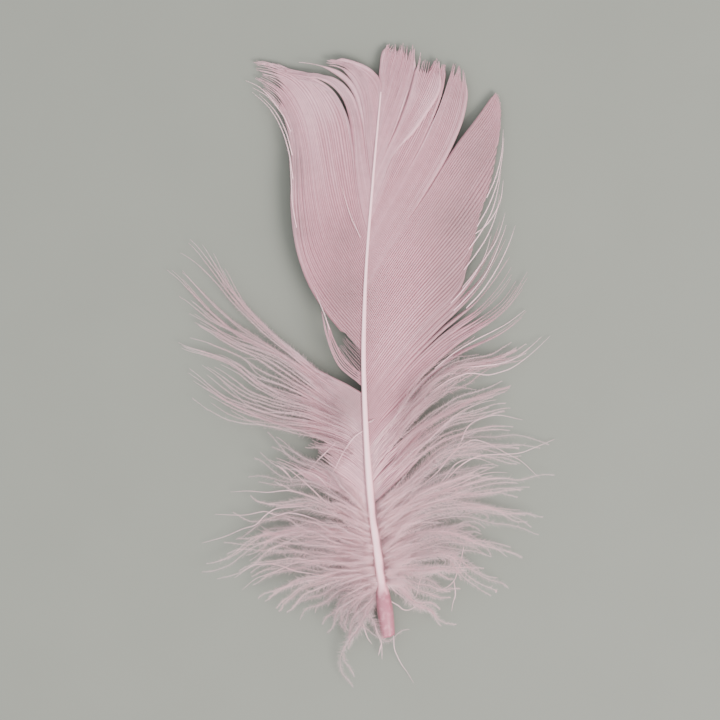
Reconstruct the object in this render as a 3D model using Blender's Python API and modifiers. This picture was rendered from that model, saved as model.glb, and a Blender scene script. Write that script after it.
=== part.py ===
"""A body feather lying on a table with its upper side up, modelled as one solid.

The feather grew as one piece: a quill that runs on as the shaft, and barbs that grow from both sides
of it. The barbs that hook together are the closed vane, split into lobes near the tip. The lower ones
hang in loose locks: a tuft, plumes and down.

Points are in millimetres in the feather's own plan, seen from above: x to the right, y from the cut end
of the quill to the tip, measured from the middle of the cut end. A barb is a list that starts with the
height along the shaft where it grows, followed by the points that it runs through to its tip.
"""

import math

import bmesh
import bpy
import numpy as np

MM = 0.001

SHEET_THICKNESS = 0.44
ROOT_INSET = 0.08
STATIONS = 9
SHAFT_SIDES_RESOLUTION = 4
SHAFT_LEAST_RADIUS = 0.33
BORE_RADIUS = 0.55
BORE_DEPTH = 3.0
TIP_HALF_WIDTH = 0.13
MERGE_DISTANCE = 2e-7

LOW = 0.23
FALL_LEFT = 18.0
FALL_RIGHT = 16.0

# The shaft from the cut end to its fine tip: x, y and width.
SHAFT = [
    (0.03, 0.0, 2.35), (-0.45, 4.0, 2.70), (-0.72, 6.0, 2.50), (-0.95, 8.0, 2.05), (-1.20, 10.0, 1.75),
    (-2.05, 16.0, 1.47), (-2.60, 20.0, 1.35), (-3.15, 26.0, 1.25), (-3.63, 33.0, 1.00),
    (-4.00, 42.0, 0.85), (-4.05, 50.0, 0.80), (-3.60, 62.0, 0.55), (-2.50, 76.0, 0.45),
    (-1.80, 84.0, 0.36), (-1.20, 90.5, 0.25),
]

# How high the shaft's middle is above the table at each y: low at the quill, arched along the vane,
# and down again at the tip.
ARCH = [
    (-11.0, 0.25), (-3.0, 0.60), (0.0, 1.08), (4.0, 1.27), (8.0, 1.20), (13.0, 1.35), (20.0, 1.90),
    (30.0, 2.90), (42.0, 4.00), (54.0, 4.80), (66.0, 5.10), (76.0, 4.80), (84.0, 3.90), (90.5, 2.60),
    (95.0, 1.30), (99.5, 0.30),
]

LEFT_DOWN = [
    [7.2, (-2.5, 4.8), (-3.9, 2.2), (-4.2, 0.2), (-5.4, -2.0), (-5.7, -4.4), (-4.2, -8.0),
     (-2.3, -10.8)],
    [7.8, (-3.2, 5.6), (-4.8, 2.6), (-6.3, 0.2), (-7.4, -1.7)],
    [8.4, (-4.2, 7.2), (-6.6, 6.2), (-8.2, 3.6), (-8.9, 0.6), (-8.3, -1.7), (-7.8, -2.8)],
    [9.0, (-4.6, 8.2), (-7.8, 6.9), (-9.5, 4.5), (-10.3, 2.6), (-11.4, 0.5)],
    [9.8, (-5.0, 9.3), (-9.0, 8.3), (-12.0, 6.8), (-14.4, 5.3), (-17.0, 3.1), (-18.8, 1.2)],
    [10.8, (-6.0, 10.5), (-10.0, 10.3), (-14.9, 10.1), (-18.6, 9.1), (-21.0, 7.7), (-23.0, 6.3)],
    [11.8, (-6.0, 11.8), (-10.0, 11.7), (-15.0, 11.3), (-18.5, 10.5), (-21.5, 9.3), (-24.7, 7.5)],
    [12.8, (-6.0, 13.1), (-10.0, 13.0), (-15.0, 12.5), (-20.0, 12.0), (-23.0, 11.0), (-25.8, 9.6)],
    [13.8, (-6.0, 14.4), (-11.0, 14.8), (-16.0, 15.4), (-20.5, 15.9), (-24.0, 15.9)],
    [14.8, (-6.0, 15.8), (-11.0, 16.7), (-15.0, 17.2), (-18.6, 17.5), (-21.8, 17.6)],
    [15.8, (-6.0, 17.1), (-10.0, 18.3), (-15.0, 19.4), (-20.2, 19.4), (-24.1, 17.8), (-27.5, 16.3),
     (-32.4, 15.3)],
    [16.8, (-6.0, 18.6), (-10.0, 19.9), (-15.0, 20.7), (-20.3, 20.8), (-24.5, 20.0), (-28.8, 20.2)],
    [17.8, (-6.0, 20.0), (-9.5, 21.3), (-13.0, 22.1), (-16.5, 22.2), (-20.2, 22.3), (-23.8, 23.2)],
    [18.8, (-6.0, 21.4), (-9.5, 22.9), (-12.5, 23.8), (-16.2, 24.2), (-20.3, 24.2), (-25.8, 24.2)],
]

LEFT_WEB = [
    [20.4, (-5.5, 22.9), (-8.5, 24.7), (-11.7, 25.8), (-14.0, 26.9), (-16.8, 28.3), (-19.9, 29.4)],
    [22.2, (-5.7, 24.9), (-8.5, 26.7), (-11.0, 27.7), (-13.4, 28.3), (-15.4, 29.3)],
    [24.2, (-5.8, 26.9), (-8.5, 28.6), (-10.8, 29.3), (-12.6, 29.7), (-14.2, 30.3)],
    [26.2, (-6.0, 28.9), (-8.5, 30.4), (-10.8, 31.2), (-12.8, 32.0)],
]

LEFT_TUFT = [
    [28.2, (-6.2, 31.0), (-9.0, 32.5), (-12.0, 33.4), (-15.5, 33.9), (-20.4, 34.4)],
    [29.6, (-6.4, 32.4), (-9.5, 33.8), (-13.0, 34.6), (-18.0, 35.3), (-22.5, 36.7), (-28.0, 38.4),
     (-33.0, 40.6), (-39.6, 44.3)],
    [31.0, (-6.5, 33.8), (-10.0, 35.3), (-14.0, 36.9), (-19.0, 37.8), (-23.6, 39.4), (-27.0, 41.6),
     (-33.8, 46.0)],
    [32.4, (-6.6, 35.1), (-10.0, 36.7), (-14.0, 38.6), (-18.5, 40.0), (-22.0, 41.8), (-25.0, 44.6),
     (-29.0, 46.2), (-34.5, 46.9)],
    [33.6, (-6.6, 36.2), (-10.0, 38.0), (-14.0, 40.2), (-18.0, 42.0), (-22.0, 43.4), (-25.5, 45.9),
     (-30.0, 47.6), (-34.0, 48.8), (-37.5, 50.5)],
    [34.7, (-6.7, 37.1), (-10.0, 39.1), (-14.0, 42.0), (-17.5, 44.4), (-21.0, 46.2), (-27.0, 48.4),
     (-31.3, 50.3)],
    [35.6, (-6.8, 38.0), (-10.0, 40.1), (-14.0, 43.3), (-18.0, 46.3), (-22.0, 48.0), (-29.0, 51.3),
     (-34.7, 54.6)],
    [36.5, (-6.8, 38.8), (-10.0, 41.0), (-16.0, 45.5), (-20.0, 47.8), (-24.0, 49.9), (-28.0, 52.5),
     (-32.0, 55.6), (-37.8, 61.2)],
    [37.3, (-6.9, 39.5), (-11.0, 42.3), (-16.0, 46.1), (-20.0, 48.7), (-24.0, 51.2), (-28.0, 54.6),
     (-32.0, 58.8), (-36.0, 63.5)],
    [38.2, (-7.0, 40.3), (-11.0, 42.9), (-16.0, 46.8), (-20.0, 49.7), (-23.0, 52.5), (-26.0, 55.6),
     (-30.0, 60.3), (-34.0, 64.2), (-38.2, 66.0)],
    [39.1, (-7.0, 41.0), (-11.0, 43.5), (-16.0, 47.4), (-20.0, 50.8), (-23.0, 54.0), (-26.0, 57.6),
     (-29.0, 62.4), (-31.8, 67.2)],
    [40.0, (-7.0, 41.7), (-10.0, 43.2), (-13.0, 45.0), (-16.4, 48.1), (-20.0, 51.8), (-23.0, 55.4),
     (-26.0, 59.9), (-29.4, 65.4)],
]

LEFT_STRANDS = [
    [41.8, (-6.3, 43.3), (-8.2, 45.0), (-9.7, 47.7), (-10.5, 50.3), (-11.0, 52.6), (-11.5, 54.6)],
    [43.4, (-6.2, 45.1), (-7.8, 47.0), (-8.9, 49.3), (-9.6, 51.4), (-10.3, 53.1)],
]

# The closed vane left of the shaft, as lobes from the outer edge inwards.
LEFT_VANE_OUTER = [
    [47.4, (-6.0, 49.4), (-8.4, 52.0), (-11.0, 55.4), (-13.3, 59.6), (-15.0, 65.0), (-15.8, 71.5),
     (-15.7, 78.0), (-16.2, 83.5), (-18.2, 88.2), (-21.5, 91.6)],
    [50.4, (-6.0, 52.8), (-8.5, 55.8), (-11.4, 60.0), (-13.5, 65.0), (-14.5, 72.0), (-14.9, 79.0),
     (-15.7, 84.6), (-18.0, 89.6), (-21.8, 92.5)],
    [54.0, (-6.0, 56.6), (-8.9, 60.6), (-11.4, 66.0), (-12.9, 73.0), (-13.8, 81.0), (-15.4, 87.0),
     (-18.2, 91.2), (-22.4, 93.4)],
    [58.0, (-5.8, 60.8), (-8.5, 65.6), (-10.5, 71.6), (-11.8, 79.0), (-13.2, 86.0), (-15.6, 90.8),
     (-18.6, 93.2), (-22.3, 94.1)],
    [62.0, (-5.3, 65.4), (-7.4, 71.2), (-8.9, 78.0), (-10.2, 84.8), (-12.4, 89.8), (-15.2, 92.7),
     (-18.5, 93.9), (-22.3, 94.8)],
    [66.2, (-4.6, 70.6), (-5.5, 76.0), (-6.1, 81.5), (-7.0, 86.6), (-8.8, 90.4), (-12.0, 92.3),
     (-15.4, 93.1), (-19.0, 94.6)],
]
LEFT_VANE_BACK = [
    [67.0, (-4.4, 71.4), (-5.2, 76.4), (-5.7, 81.6), (-6.5, 86.8), (-8.2, 91.0), (-11.6, 93.0),
     (-15.2, 93.6), (-18.8, 95.1)],
    [70.6, (-3.9, 75.4), (-4.6, 80.2), (-5.3, 85.2), (-6.5, 89.8), (-8.8, 92.6), (-12.0, 93.7),
     (-16.0, 93.9), (-20.0, 95.7), (-23.5, 96.2)],
    [74.0, (-3.5, 78.4), (-4.1, 83.4), (-4.7, 87.8), (-5.5, 91.1), (-7.8, 93.3), (-11.0, 94.3),
     (-14.0, 94.4), (-16.0, 94.2)],
]
LEFT_VANE_INNER = [
    [74.8, (-3.2, 79.2), (-3.7, 84.0), (-4.2, 88.0), (-5.2, 91.4), (-6.9, 94.2), (-10.5, 95.2)],
    [80.6, (-2.8, 84.6), (-3.1, 88.2), (-3.8, 91.8), (-5.6, 94.2), (-8.0, 95.3), (-10.4, 95.5)],
    [90.0, (-1.45, 91.6), (-2.2, 93.2), (-4.0, 94.6), (-7.0, 95.6), (-10.3, 95.9)],
]

RIGHT_DOWN = [
    [8.8, (1.9, 8.3), (4.4, 6.4), (7.6, 4.9), (9.8, 3.7), (13.0, 3.9)],
    [10.0, (3.0, 10.6), (6.0, 10.4), (9.0, 9.9), (11.8, 8.9), (13.9, 7.8), (16.1, 6.6)],
    [11.2, (3.0, 12.3), (6.0, 12.7), (9.0, 12.7), (12.0, 12.0), (14.0, 10.8), (15.8, 9.0)],
    [12.4, (3.0, 14.1), (6.0, 15.0), (9.8, 15.9), (12.6, 15.5), (17.2, 12.8), (20.8, 11.5),
     (23.4, 9.5)],
    [13.5, (2.5, 15.8), (5.8, 17.1), (9.0, 18.0), (12.2, 18.9), (15.6, 19.2), (18.2, 17.6)],
    [14.6, (2.5, 17.3), (6.0, 19.0), (10.0, 20.1), (14.0, 20.3), (17.6, 19.4), (21.4, 18.2),
     (28.0, 17.5)],
    [15.7, (2.5, 18.9), (6.0, 20.7), (10.0, 21.6), (14.6, 21.7), (20.4, 21.1), (24.6, 20.2),
     (26.3, 18.5)],
    [16.8, (2.2, 20.2), (6.0, 22.0), (10.0, 22.8), (14.0, 23.0), (18.0, 22.5), (23.5, 21.8)],
    [17.9, (2.0, 21.3), (6.0, 23.4), (10.0, 24.5), (14.0, 25.5), (17.6, 25.6), (20.8, 24.2)],
    [18.9, (2.0, 22.3), (5.4, 24.4), (9.0, 25.8), (13.0, 27.0), (16.5, 27.6), (20.0, 27.6)],
    [19.8, (1.8, 23.1), (5.0, 25.4), (8.0, 27.4), (11.0, 29.0), (14.0, 29.5), (17.5, 28.8)],
    [20.7, (1.7, 23.8), (4.6, 26.0), (8.0, 28.9), (11.0, 30.6), (14.0, 31.1), (17.5, 30.7),
     (21.4, 29.6), (25.2, 26.4)],
    [21.5, (1.5, 24.4), (4.0, 26.4), (6.4, 28.6), (9.0, 31.0), (12.0, 32.3), (15.0, 32.5), (20.0, 30.9),
     (24.2, 31.4), (28.2, 32.8)],
]

# Three plumes right of the shaft, from the lowest up, with an open gap below each.
RIGHT_PLUME_LOW = [
    [22.4, (-0.6, 24.4), (1.5, 26.3), (4.0, 28.9), (6.6, 31.3), (9.6, 32.8), (13.0, 33.9), (17.0, 34.6),
     (21.5, 35.1)],
    [23.3, (-0.8, 25.5), (1.5, 27.7), (4.2, 30.3), (7.2, 32.6), (10.5, 34.7), (14.0, 36.0),
     (18.0, 36.9), (22.7, 36.0)],
    [24.1, (-0.9, 26.3), (1.4, 28.6), (4.2, 31.4), (7.4, 34.0), (10.5, 36.2), (14.0, 38.0),
     (17.0, 38.7), (19.5, 38.2)],
    [24.7, (-0.9, 26.9), (1.4, 29.3), (4.2, 32.4), (8.0, 35.9), (12.0, 39.0), (16.0, 41.4),
     (20.0, 43.2), (24.0, 43.7)],
]
RIGHT_PLUME_MIDDLE = [
    [25.7, (-1.4, 28.1), (0.8, 30.7), (3.0, 33.5), (5.6, 36.1), (8.4, 38.2), (12.0, 40.4), (15.5, 42.4),
     (19.0, 44.0), (22.5, 45.2)],
    [27.2, (-1.4, 29.9), (0.8, 32.6), (3.4, 35.8), (6.6, 39.3), (10.0, 42.0), (13.5, 43.5),
     (17.0, 44.4), (20.5, 45.6), (24.0, 47.6), (27.5, 50.4)],
    [29.0, (-1.4, 31.9), (0.8, 34.5), (3.6, 37.7), (6.8, 41.0), (10.0, 43.6), (13.5, 45.1),
     (17.8, 46.2), (21.0, 47.3), (25.0, 49.6), (29.9, 52.8)],
    [30.5, (-1.4, 33.3), (0.8, 35.8), (3.6, 38.8), (6.8, 42.0), (10.0, 44.6), (13.0, 46.0),
     (17.0, 47.5), (20.0, 48.7), (22.8, 49.7)],
]
RIGHT_PLUME_HIGH = [
    [31.9, (-1.3, 34.9), (1.2, 37.6), (4.3, 41.0), (7.6, 44.3), (11.0, 47.1), (14.3, 48.9),
     (17.5, 50.5), (20.2, 52.3), (22.8, 54.6)],
    [33.2, (-1.3, 36.4), (1.2, 39.2), (4.3, 42.6), (7.6, 45.9), (11.0, 48.7), (14.5, 50.8),
     (17.8, 52.6), (20.6, 55.0), (23.0, 58.6), (24.8, 61.5)],
    [34.4, (-1.3, 37.8), (1.2, 40.7), (4.3, 44.3), (7.8, 47.7), (11.2, 50.3), (14.6, 52.3),
     (17.6, 54.1), (20.0, 56.4), (22.4, 60.4)],
    [35.5, (-1.3, 39.1), (1.2, 42.1), (4.3, 45.8), (8.0, 49.4), (11.5, 52.1), (14.8, 54.4),
     (17.4, 57.0), (19.8, 60.4), (22.0, 64.4)],
    [36.3, (-1.3, 40.0), (1.2, 43.1), (4.4, 46.8), (8.0, 50.4), (10.8, 52.9), (13.6, 55.3),
     (16.2, 58.1), (18.6, 61.7), (21.0, 66.0)],
    [37.2, (-1.3, 41.0), (1.2, 44.1), (4.5, 47.9), (8.0, 51.5), (10.9, 54.2), (13.4, 56.8),
     (15.9, 60.1), (18.0, 64.2), (19.7, 68.6)],
    [38.4, (-1.3, 42.3), (1.2, 45.4), (4.5, 49.3), (8.0, 52.9), (11.0, 55.7), (13.8, 59.1),
     (16.2, 62.7), (18.0, 66.6), (19.4, 70.8)],
]

# The closed vane right of the shaft, as lobes from the outer edge inwards.
RIGHT_VANE_OUTER = [
    [39.4, (-1.2, 43.4), (1.2, 46.5), (4.5, 50.4), (8.0, 54.0), (10.0, 55.9), (12.0, 58.2)],
    [42.0, (-1.1, 46.3), (1.4, 49.6), (4.6, 53.5), (8.0, 57.1), (11.0, 60.0), (13.6, 62.7)],
    [45.0, (-1.1, 49.5), (1.4, 52.9), (4.6, 56.9), (8.0, 60.8), (11.2, 64.3), (14.5, 67.7)],
    [46.8, (-1.2, 51.3), (1.4, 54.9), (4.6, 59.1), (8.0, 63.2), (11.2, 67.0), (14.0, 70.3),
     (16.4, 73.2)],
    [48.8, (-1.2, 53.3), (1.4, 57.1), (4.6, 61.5), (8.0, 65.9), (11.2, 70.2), (14.6, 75.0),
     (18.0, 79.8)],
    [51.5, (-1.3, 56.0), (1.3, 59.9), (4.5, 64.5), (7.8, 69.0), (10.8, 73.2), (14.0, 77.8),
     (18.8, 84.8)],
    [54.5, (-1.3, 59.0), (1.3, 63.0), (4.4, 67.6), (7.5, 72.1), (10.2, 76.2), (13.6, 81.0),
     (18.8, 88.4)],
    [57.4, (-1.2, 61.9), (1.4, 66.0), (4.2, 70.0), (6.9, 74.0), (9.1, 77.6), (12.0, 82.0), (15.4, 86.6),
     (18.0, 90.7)],
]
RIGHT_VANE_THIRD = [
    [58.2, (-1.2, 62.6), (1.4, 66.6), (4.1, 70.6), (6.7, 74.4), (8.7, 77.8), (10.4, 81.2), (12.1, 86.0),
     (12.9, 90.6), (12.6, 94.4)],
    [61.8, (-1.0, 66.6), (1.6, 71.0), (4.2, 75.4), (6.5, 79.5), (8.4, 83.5), (10.0, 87.8), (11.2, 91.8),
     (11.9, 95.4)],
    [65.0, (-1.0, 69.4), (1.3, 73.6), (3.6, 77.7), (5.7, 81.5), (7.5, 85.3), (9.0, 89.0), (10.1, 92.4),
     (10.9, 95.6)],
]
RIGHT_VANE_SECOND = [
    [66.0, (-1.0, 70.2), (1.2, 74.3), (3.4, 78.3), (5.3, 81.9), (6.9, 85.5), (8.2, 89.0), (9.1, 92.2),
     (9.7, 95.7)],
    [70.8, (-1.2, 74.9), (0.6, 79.4), (2.6, 83.6), (4.5, 87.6), (6.1, 91.6), (7.2, 94.6), (7.8, 97.0)],
    [75.0, (-1.3, 78.0), (0.4, 81.6), (2.1, 85.4), (3.5, 89.0), (4.4, 92.2), (5.1, 95.2), (5.5, 97.8)],
]
RIGHT_VANE_TOP = [
    [76.2, (-1.3, 79.2), (0.3, 83.0), (1.8, 86.8), (3.0, 90.2), (3.9, 93.2), (4.3, 96.0), (4.2, 98.9)],
    [84.0, (-0.9, 87.6), (0.2, 91.2), (1.2, 94.6), (1.9, 97.0), (2.2, 98.9)],
    [90.0, (-1.15, 92.0), (-1.05, 94.4), (-0.7, 96.8), (0.2, 99.3)],
]

# Each group: its barbs, the half width of a lock near the shaft and out along it, the share of its length
# over which a lock is one web with the next, and the same share towards the group below. A lobe's barbs
# are all joined, and lobes part where their barbs do.
LEFT_GROUPS = [
    {"barbs": LEFT_DOWN, "inner": 0.60, "outer": 0.36, "web": 0.24},
    {"barbs": LEFT_WEB, "inner": 0.90, "outer": 0.40, "web": 0.52, "below": 0.30},
    {"barbs": LEFT_TUFT, "inner": 0.65, "outer": 0.34, "web": 0.22, "below": 0.30},
    {"barbs": LEFT_STRANDS, "inner": 0.40, "outer": 0.30, "web": 0.12, "below": 0.10},
    {"barbs": LEFT_VANE_OUTER, "lobe": True, "below": 0.10},
    {"barbs": LEFT_VANE_BACK, "lobe": True, "below": 0.55},
    {"barbs": LEFT_VANE_INNER, "lobe": True, "below": 0.50},
]
RIGHT_GROUPS = [
    {"barbs": RIGHT_DOWN, "inner": 0.60, "outer": 0.36, "web": 0.24},
    {"barbs": RIGHT_PLUME_LOW, "inner": 0.80, "outer": 0.38, "web": 0.40, "below": 0.12},
    {"barbs": RIGHT_PLUME_MIDDLE, "inner": 0.80, "outer": 0.38, "web": 0.40, "below": 0.15},
    {"barbs": RIGHT_PLUME_HIGH, "inner": 0.80, "outer": 0.34, "web": 0.45, "below": 0.28},
    {"barbs": RIGHT_VANE_OUTER, "lobe": True, "below": 0.60},
    {"barbs": RIGHT_VANE_THIRD, "lobe": True, "below": 0.62},
    {"barbs": RIGHT_VANE_SECOND, "lobe": True, "below": 0.60},
    {"barbs": RIGHT_VANE_TOP, "lobe": True, "below": 0.80},
]

FEATHER_PINK = (0.545, 0.376, 0.407, 1.0)


def clear_scene():
    for scene_object in list(bpy.data.objects):
        bpy.data.objects.remove(scene_object, do_unlink=True)


def make_collection(name):
    collection = bpy.data.collections.new(name)
    bpy.context.scene.collection.children.link(collection)
    return collection


def shaft_x(y):
    """The shaft's middle, seen from above, at a height y along it."""
    return np.interp(y, [row[1] for row in SHAFT], [row[0] for row in SHAFT])


def height(x, y):
    """The feather's height over the table: the shaft's arch, sinking to both sides as a bell curve."""
    arch = np.interp(y, [row[0] for row in ARCH], [row[1] for row in ARCH])
    aside = x - shaft_x(y)
    fall = np.where(aside < 0.0, FALL_LEFT, FALL_RIGHT)
    return LOW + (arch - LOW) * np.exp(-((aside / fall) ** 2))


def smooth_line(points, count):
    """A Catmull-Rom curve through the points, as count + 1 places spaced evenly along its length."""
    knots = np.array(points, dtype=float)
    knots = np.vstack([2.0 * knots[0] - knots[1], knots, 2.0 * knots[-1] - knots[-2]])
    t = np.linspace(0.0, 1.0, 12, endpoint=False)[:, None]
    pieces = []
    for before, start, end, after in zip(knots, knots[1:], knots[2:], knots[3:]):
        bend = (2.0 * before - 5.0 * start + 4.0 * end - after) * t ** 2
        twist = (3.0 * start - before - 3.0 * end + after) * t ** 3
        pieces.append(0.5 * (2.0 * start + (end - before) * t + bend + twist))
    line = np.vstack(pieces + [knots[-2][None, :]])
    steps = np.linalg.norm(np.diff(line, axis=0), axis=1)
    length = np.concatenate([[0.0], np.cumsum(steps)])
    even = np.linspace(0.0, length[-1], count + 1)
    return np.column_stack([np.interp(even, length, line[:, axis]) for axis in range(2)])


def barb_line(barb, side):
    """A barb from inside the shaft to its tip."""
    root = (float(shaft_x(barb[0])) + side * ROOT_INSET, barb[0])
    return smooth_line([root] + list(barb[1:]), STATIONS)


def normals_towards_tip(line, side):
    """Unit vectors across the barb, on the side of the next barb up the shaft."""
    along = np.gradient(line, axis=0)
    along /= np.linalg.norm(along, axis=1)[:, None]
    return side * np.column_stack([-along[:, 1], along[:, 0]])


def lock_half_width(group):
    """Half the lock's width at each station: wide near the shaft, then even, then tapered to the tip."""
    s = np.linspace(0.0, 1.0, STATIONS + 1)
    width = np.interp(s, [0.0, 0.35, 0.7, 1.0], [group["inner"], group["outer"], 0.7 * group["outer"], 0.0])
    return np.maximum(width, TIP_HALF_WIDTH)


def room_beside(line, neighbour):
    """Half the clear distance from each station of one barb to the whole of its neighbour."""
    steps = np.diff(neighbour, axis=0)
    dense = np.vstack([neighbour[:-1] + share * steps for share in (0.0, 0.25, 0.5, 0.75)] + [neighbour[-1:]])
    gaps = np.linalg.norm(line[:, None, :] - dense[None, :, :], axis=2)
    return 0.5 * gaps.min(axis=1)


def lock_edge(line, neighbour, width, across):
    """The edge of a lock towards one neighbour, kept clear of the middle between the two."""
    reach = np.minimum(width, 0.8 * room_beside(line, neighbour)) if neighbour is not None else width
    return line + across * reach[:, None]


def add_row(mesh, places, shared, shared_with):
    """One row of vertices along a barb; its first ones can be those of the row beside it."""
    heights = height(places[:, 0], places[:, 1])
    row = list(shared_with[:shared]) if shared_with else []
    for place, z in zip(places[len(row):], heights[len(row):]):
        row.append(mesh.verts.new((place[0] * MM, place[1] * MM, z * MM)))
    return row


def add_strip(mesh, row, next_row):
    """Quads between two rows, left out where the rows are the same vertices."""
    for a, b, c, d in zip(row, row[1:], next_row[1:], next_row):
        corners = list(dict.fromkeys((a, b, c, d)))
        if len(corners) > 2:
            mesh.faces.new(corners)


def joined_stations(group, next_group):
    """How many stations two neighbouring locks or lobes have in common, counted from the shaft."""
    web = group["web"] if group is next_group else next_group["below"]
    return max(2, round(web * STATIONS) + 1)


def side_surface(groups, side):
    """The barbs of one side as an open surface: rows along the barbs, parted where locks and lobes part."""
    mesh = bmesh.new()
    barbs = [(barb_line(barb, side), group) for group in groups for barb in group["barbs"]]
    lower_row = None
    lower_count = 0
    previous = None
    for index, (line, group) in enumerate(barbs):
        following = barbs[index + 1] if index + 1 < len(barbs) else None
        across = normals_towards_tip(line, side)
        same_lobe_below = previous is not None and group.get("lobe") and previous[1] is group
        if group.get("lobe"):
            places = line.copy()
            if lower_row and not same_lobe_below:
                middle = add_row(mesh, places, lower_count, lower_row)
            else:
                middle = add_row(mesh, places, 0, None)
            if same_lobe_below:
                add_strip(mesh, lower_row, middle)
            upper_row = middle
        else:
            width = lock_half_width(group)
            below = previous[0] if previous else None
            lower_edge = add_row(mesh, lock_edge(line, below, width, -across), lower_count, lower_row)
            middle = add_row(mesh, line, 0, None)
            add_strip(mesh, lower_edge, middle)
            above = following[0] if following else None
            edge = lock_edge(line, above, width, across)
            if following and not following[1].get("lobe"):
                shared = joined_stations(group, following[1])
                edge[:shared] = 0.5 * (line[:shared] + following[0][:shared])
            elif following:
                shared = joined_stations(group, following[1])
                edge[:shared] = following[0][:shared]
            upper_row = add_row(mesh, edge, 0, None)
            add_strip(mesh, middle, upper_row)
        if following and not (group.get("lobe") and following[1] is group):
            lower_count = joined_stations(group, following[1])
        lower_row = upper_row
        previous = (line, group)
    bmesh.ops.recalc_face_normals(mesh, faces=mesh.faces)
    return mesh


def object_from_bmesh(mesh, name, collection):
    data = bpy.data.meshes.new(name)
    mesh.to_mesh(data)
    mesh.free()
    made = bpy.data.objects.new(name, data)
    collection.objects.link(made)
    return made


def make_side(name, groups, side, collection):
    """One side's barbs, thickened to a closed sheet."""
    sheet = object_from_bmesh(side_surface(groups, side), name, collection)
    thicken = sheet.modifiers.new("thickness", "SOLIDIFY")
    thicken.thickness = SHEET_THICKNESS * MM
    thicken.offset = 0.0
    mark_as_guide(sheet)
    return sheet


def mark_as_guide(guide):
    guide.hide_render = True
    guide.display_type = "WIRE"


def make_shaft(collection):
    """The quill and shaft as one tapering tube along its own curve."""
    curve = bpy.data.curves.new("shaft", "CURVE")
    curve.dimensions = "3D"
    curve.bevel_depth = MM
    curve.bevel_resolution = SHAFT_SIDES_RESOLUTION
    curve.use_fill_caps = True
    curve.twist_mode = "Z_UP"
    spline = curve.splines.new("POLY")
    spline.points.add(len(SHAFT) - 1)
    for point, (x, y, width) in zip(spline.points, SHAFT):
        point.co = (x * MM, y * MM, float(height(x, y)) * MM, 1.0)
        point.radius = max(width / 2.0, SHAFT_LEAST_RADIUS)
        point.tilt = math.pi / (4 + 2 * SHAFT_SIDES_RESOLUTION)
    return solid_from_curve("shaft", curve, collection)


def solid_from_curve(name, curve, collection):
    """The curve's tube as a mesh object with its caps welded on."""
    drawn = bpy.data.objects.new(name + "_curve", curve)
    collection.objects.link(drawn)
    evaluated = drawn.evaluated_get(bpy.context.evaluated_depsgraph_get())
    mesh = bmesh.new()
    mesh.from_mesh(bpy.data.meshes.new_from_object(evaluated))
    bmesh.ops.remove_doubles(mesh, verts=mesh.verts, dist=MERGE_DISTANCE)
    bmesh.ops.recalc_face_normals(mesh, faces=mesh.faces)
    bpy.data.objects.remove(drawn, do_unlink=True)
    return object_from_bmesh(mesh, name, collection)


def make_table_cutter(collection):
    """Everything below the table's surface; it leaves the quill a narrow flat to lie on."""
    bpy.ops.mesh.primitive_cube_add(size=1.0, location=(0.0, 0.05, -0.01))
    cutter = bpy.context.active_object
    cutter.name = "below_table"
    cutter.scale = (0.2, 0.2, 0.02)
    bpy.ops.object.transform_apply(location=False, rotation=False, scale=True)
    move_to(cutter, collection)
    mark_as_guide(cutter)
    return cutter


def make_bore_cutter(collection):
    """The hollow of the cut quill, along the quill's own axis."""
    start = np.array(SHAFT[0][:2])
    axis = np.array(SHAFT[1][:2]) - start
    lean = math.atan2(-axis[0], axis[1])
    bpy.ops.mesh.primitive_cylinder_add(
        vertices=12,
        radius=BORE_RADIUS * MM,
        depth=2.0 * BORE_DEPTH * MM,
        location=(start[0] * MM, start[1] * MM, float(height(*start)) * MM),
        rotation=(math.pi / 2.0, 0.0, lean),
    )
    cutter = bpy.context.active_object
    cutter.name = "quill_bore"
    move_to(cutter, collection)
    mark_as_guide(cutter)
    return cutter


def move_to(moved, collection):
    for owner in list(moved.users_collection):
        owner.objects.unlink(moved)
    collection.objects.link(moved)


def add_boolean(target, operand, operation):
    """The exact solver loses these thin fringed sheets, so all four steps use the manifold one."""
    cut = target.modifiers.new(operand.name, "BOOLEAN")
    cut.operation = operation
    cut.solver = "MANIFOLD"
    cut.object = operand


def feather_material():
    material = bpy.data.materials.new("feather_pink")
    material.use_nodes = True
    shader = material.node_tree.nodes["Principled BSDF"]
    shader.inputs["Base Color"].default_value = FEATHER_PINK
    shader.inputs["Roughness"].default_value = 0.6
    shader.inputs["Metallic"].default_value = 0.0
    return material


def centre_on_table(mesh):
    """Move the solid so that its box is centred on the origin in plan and stands on z = 0."""
    places = np.array([vertex.co[:] for vertex in mesh.verts])
    low = places.min(axis=0)
    high = places.max(axis=0)
    shift = (-0.5 * (low[0] + high[0]), -0.5 * (low[1] + high[1]), -low[2])
    bmesh.ops.translate(mesh, verts=mesh.verts, vec=shift)
    return shift


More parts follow.
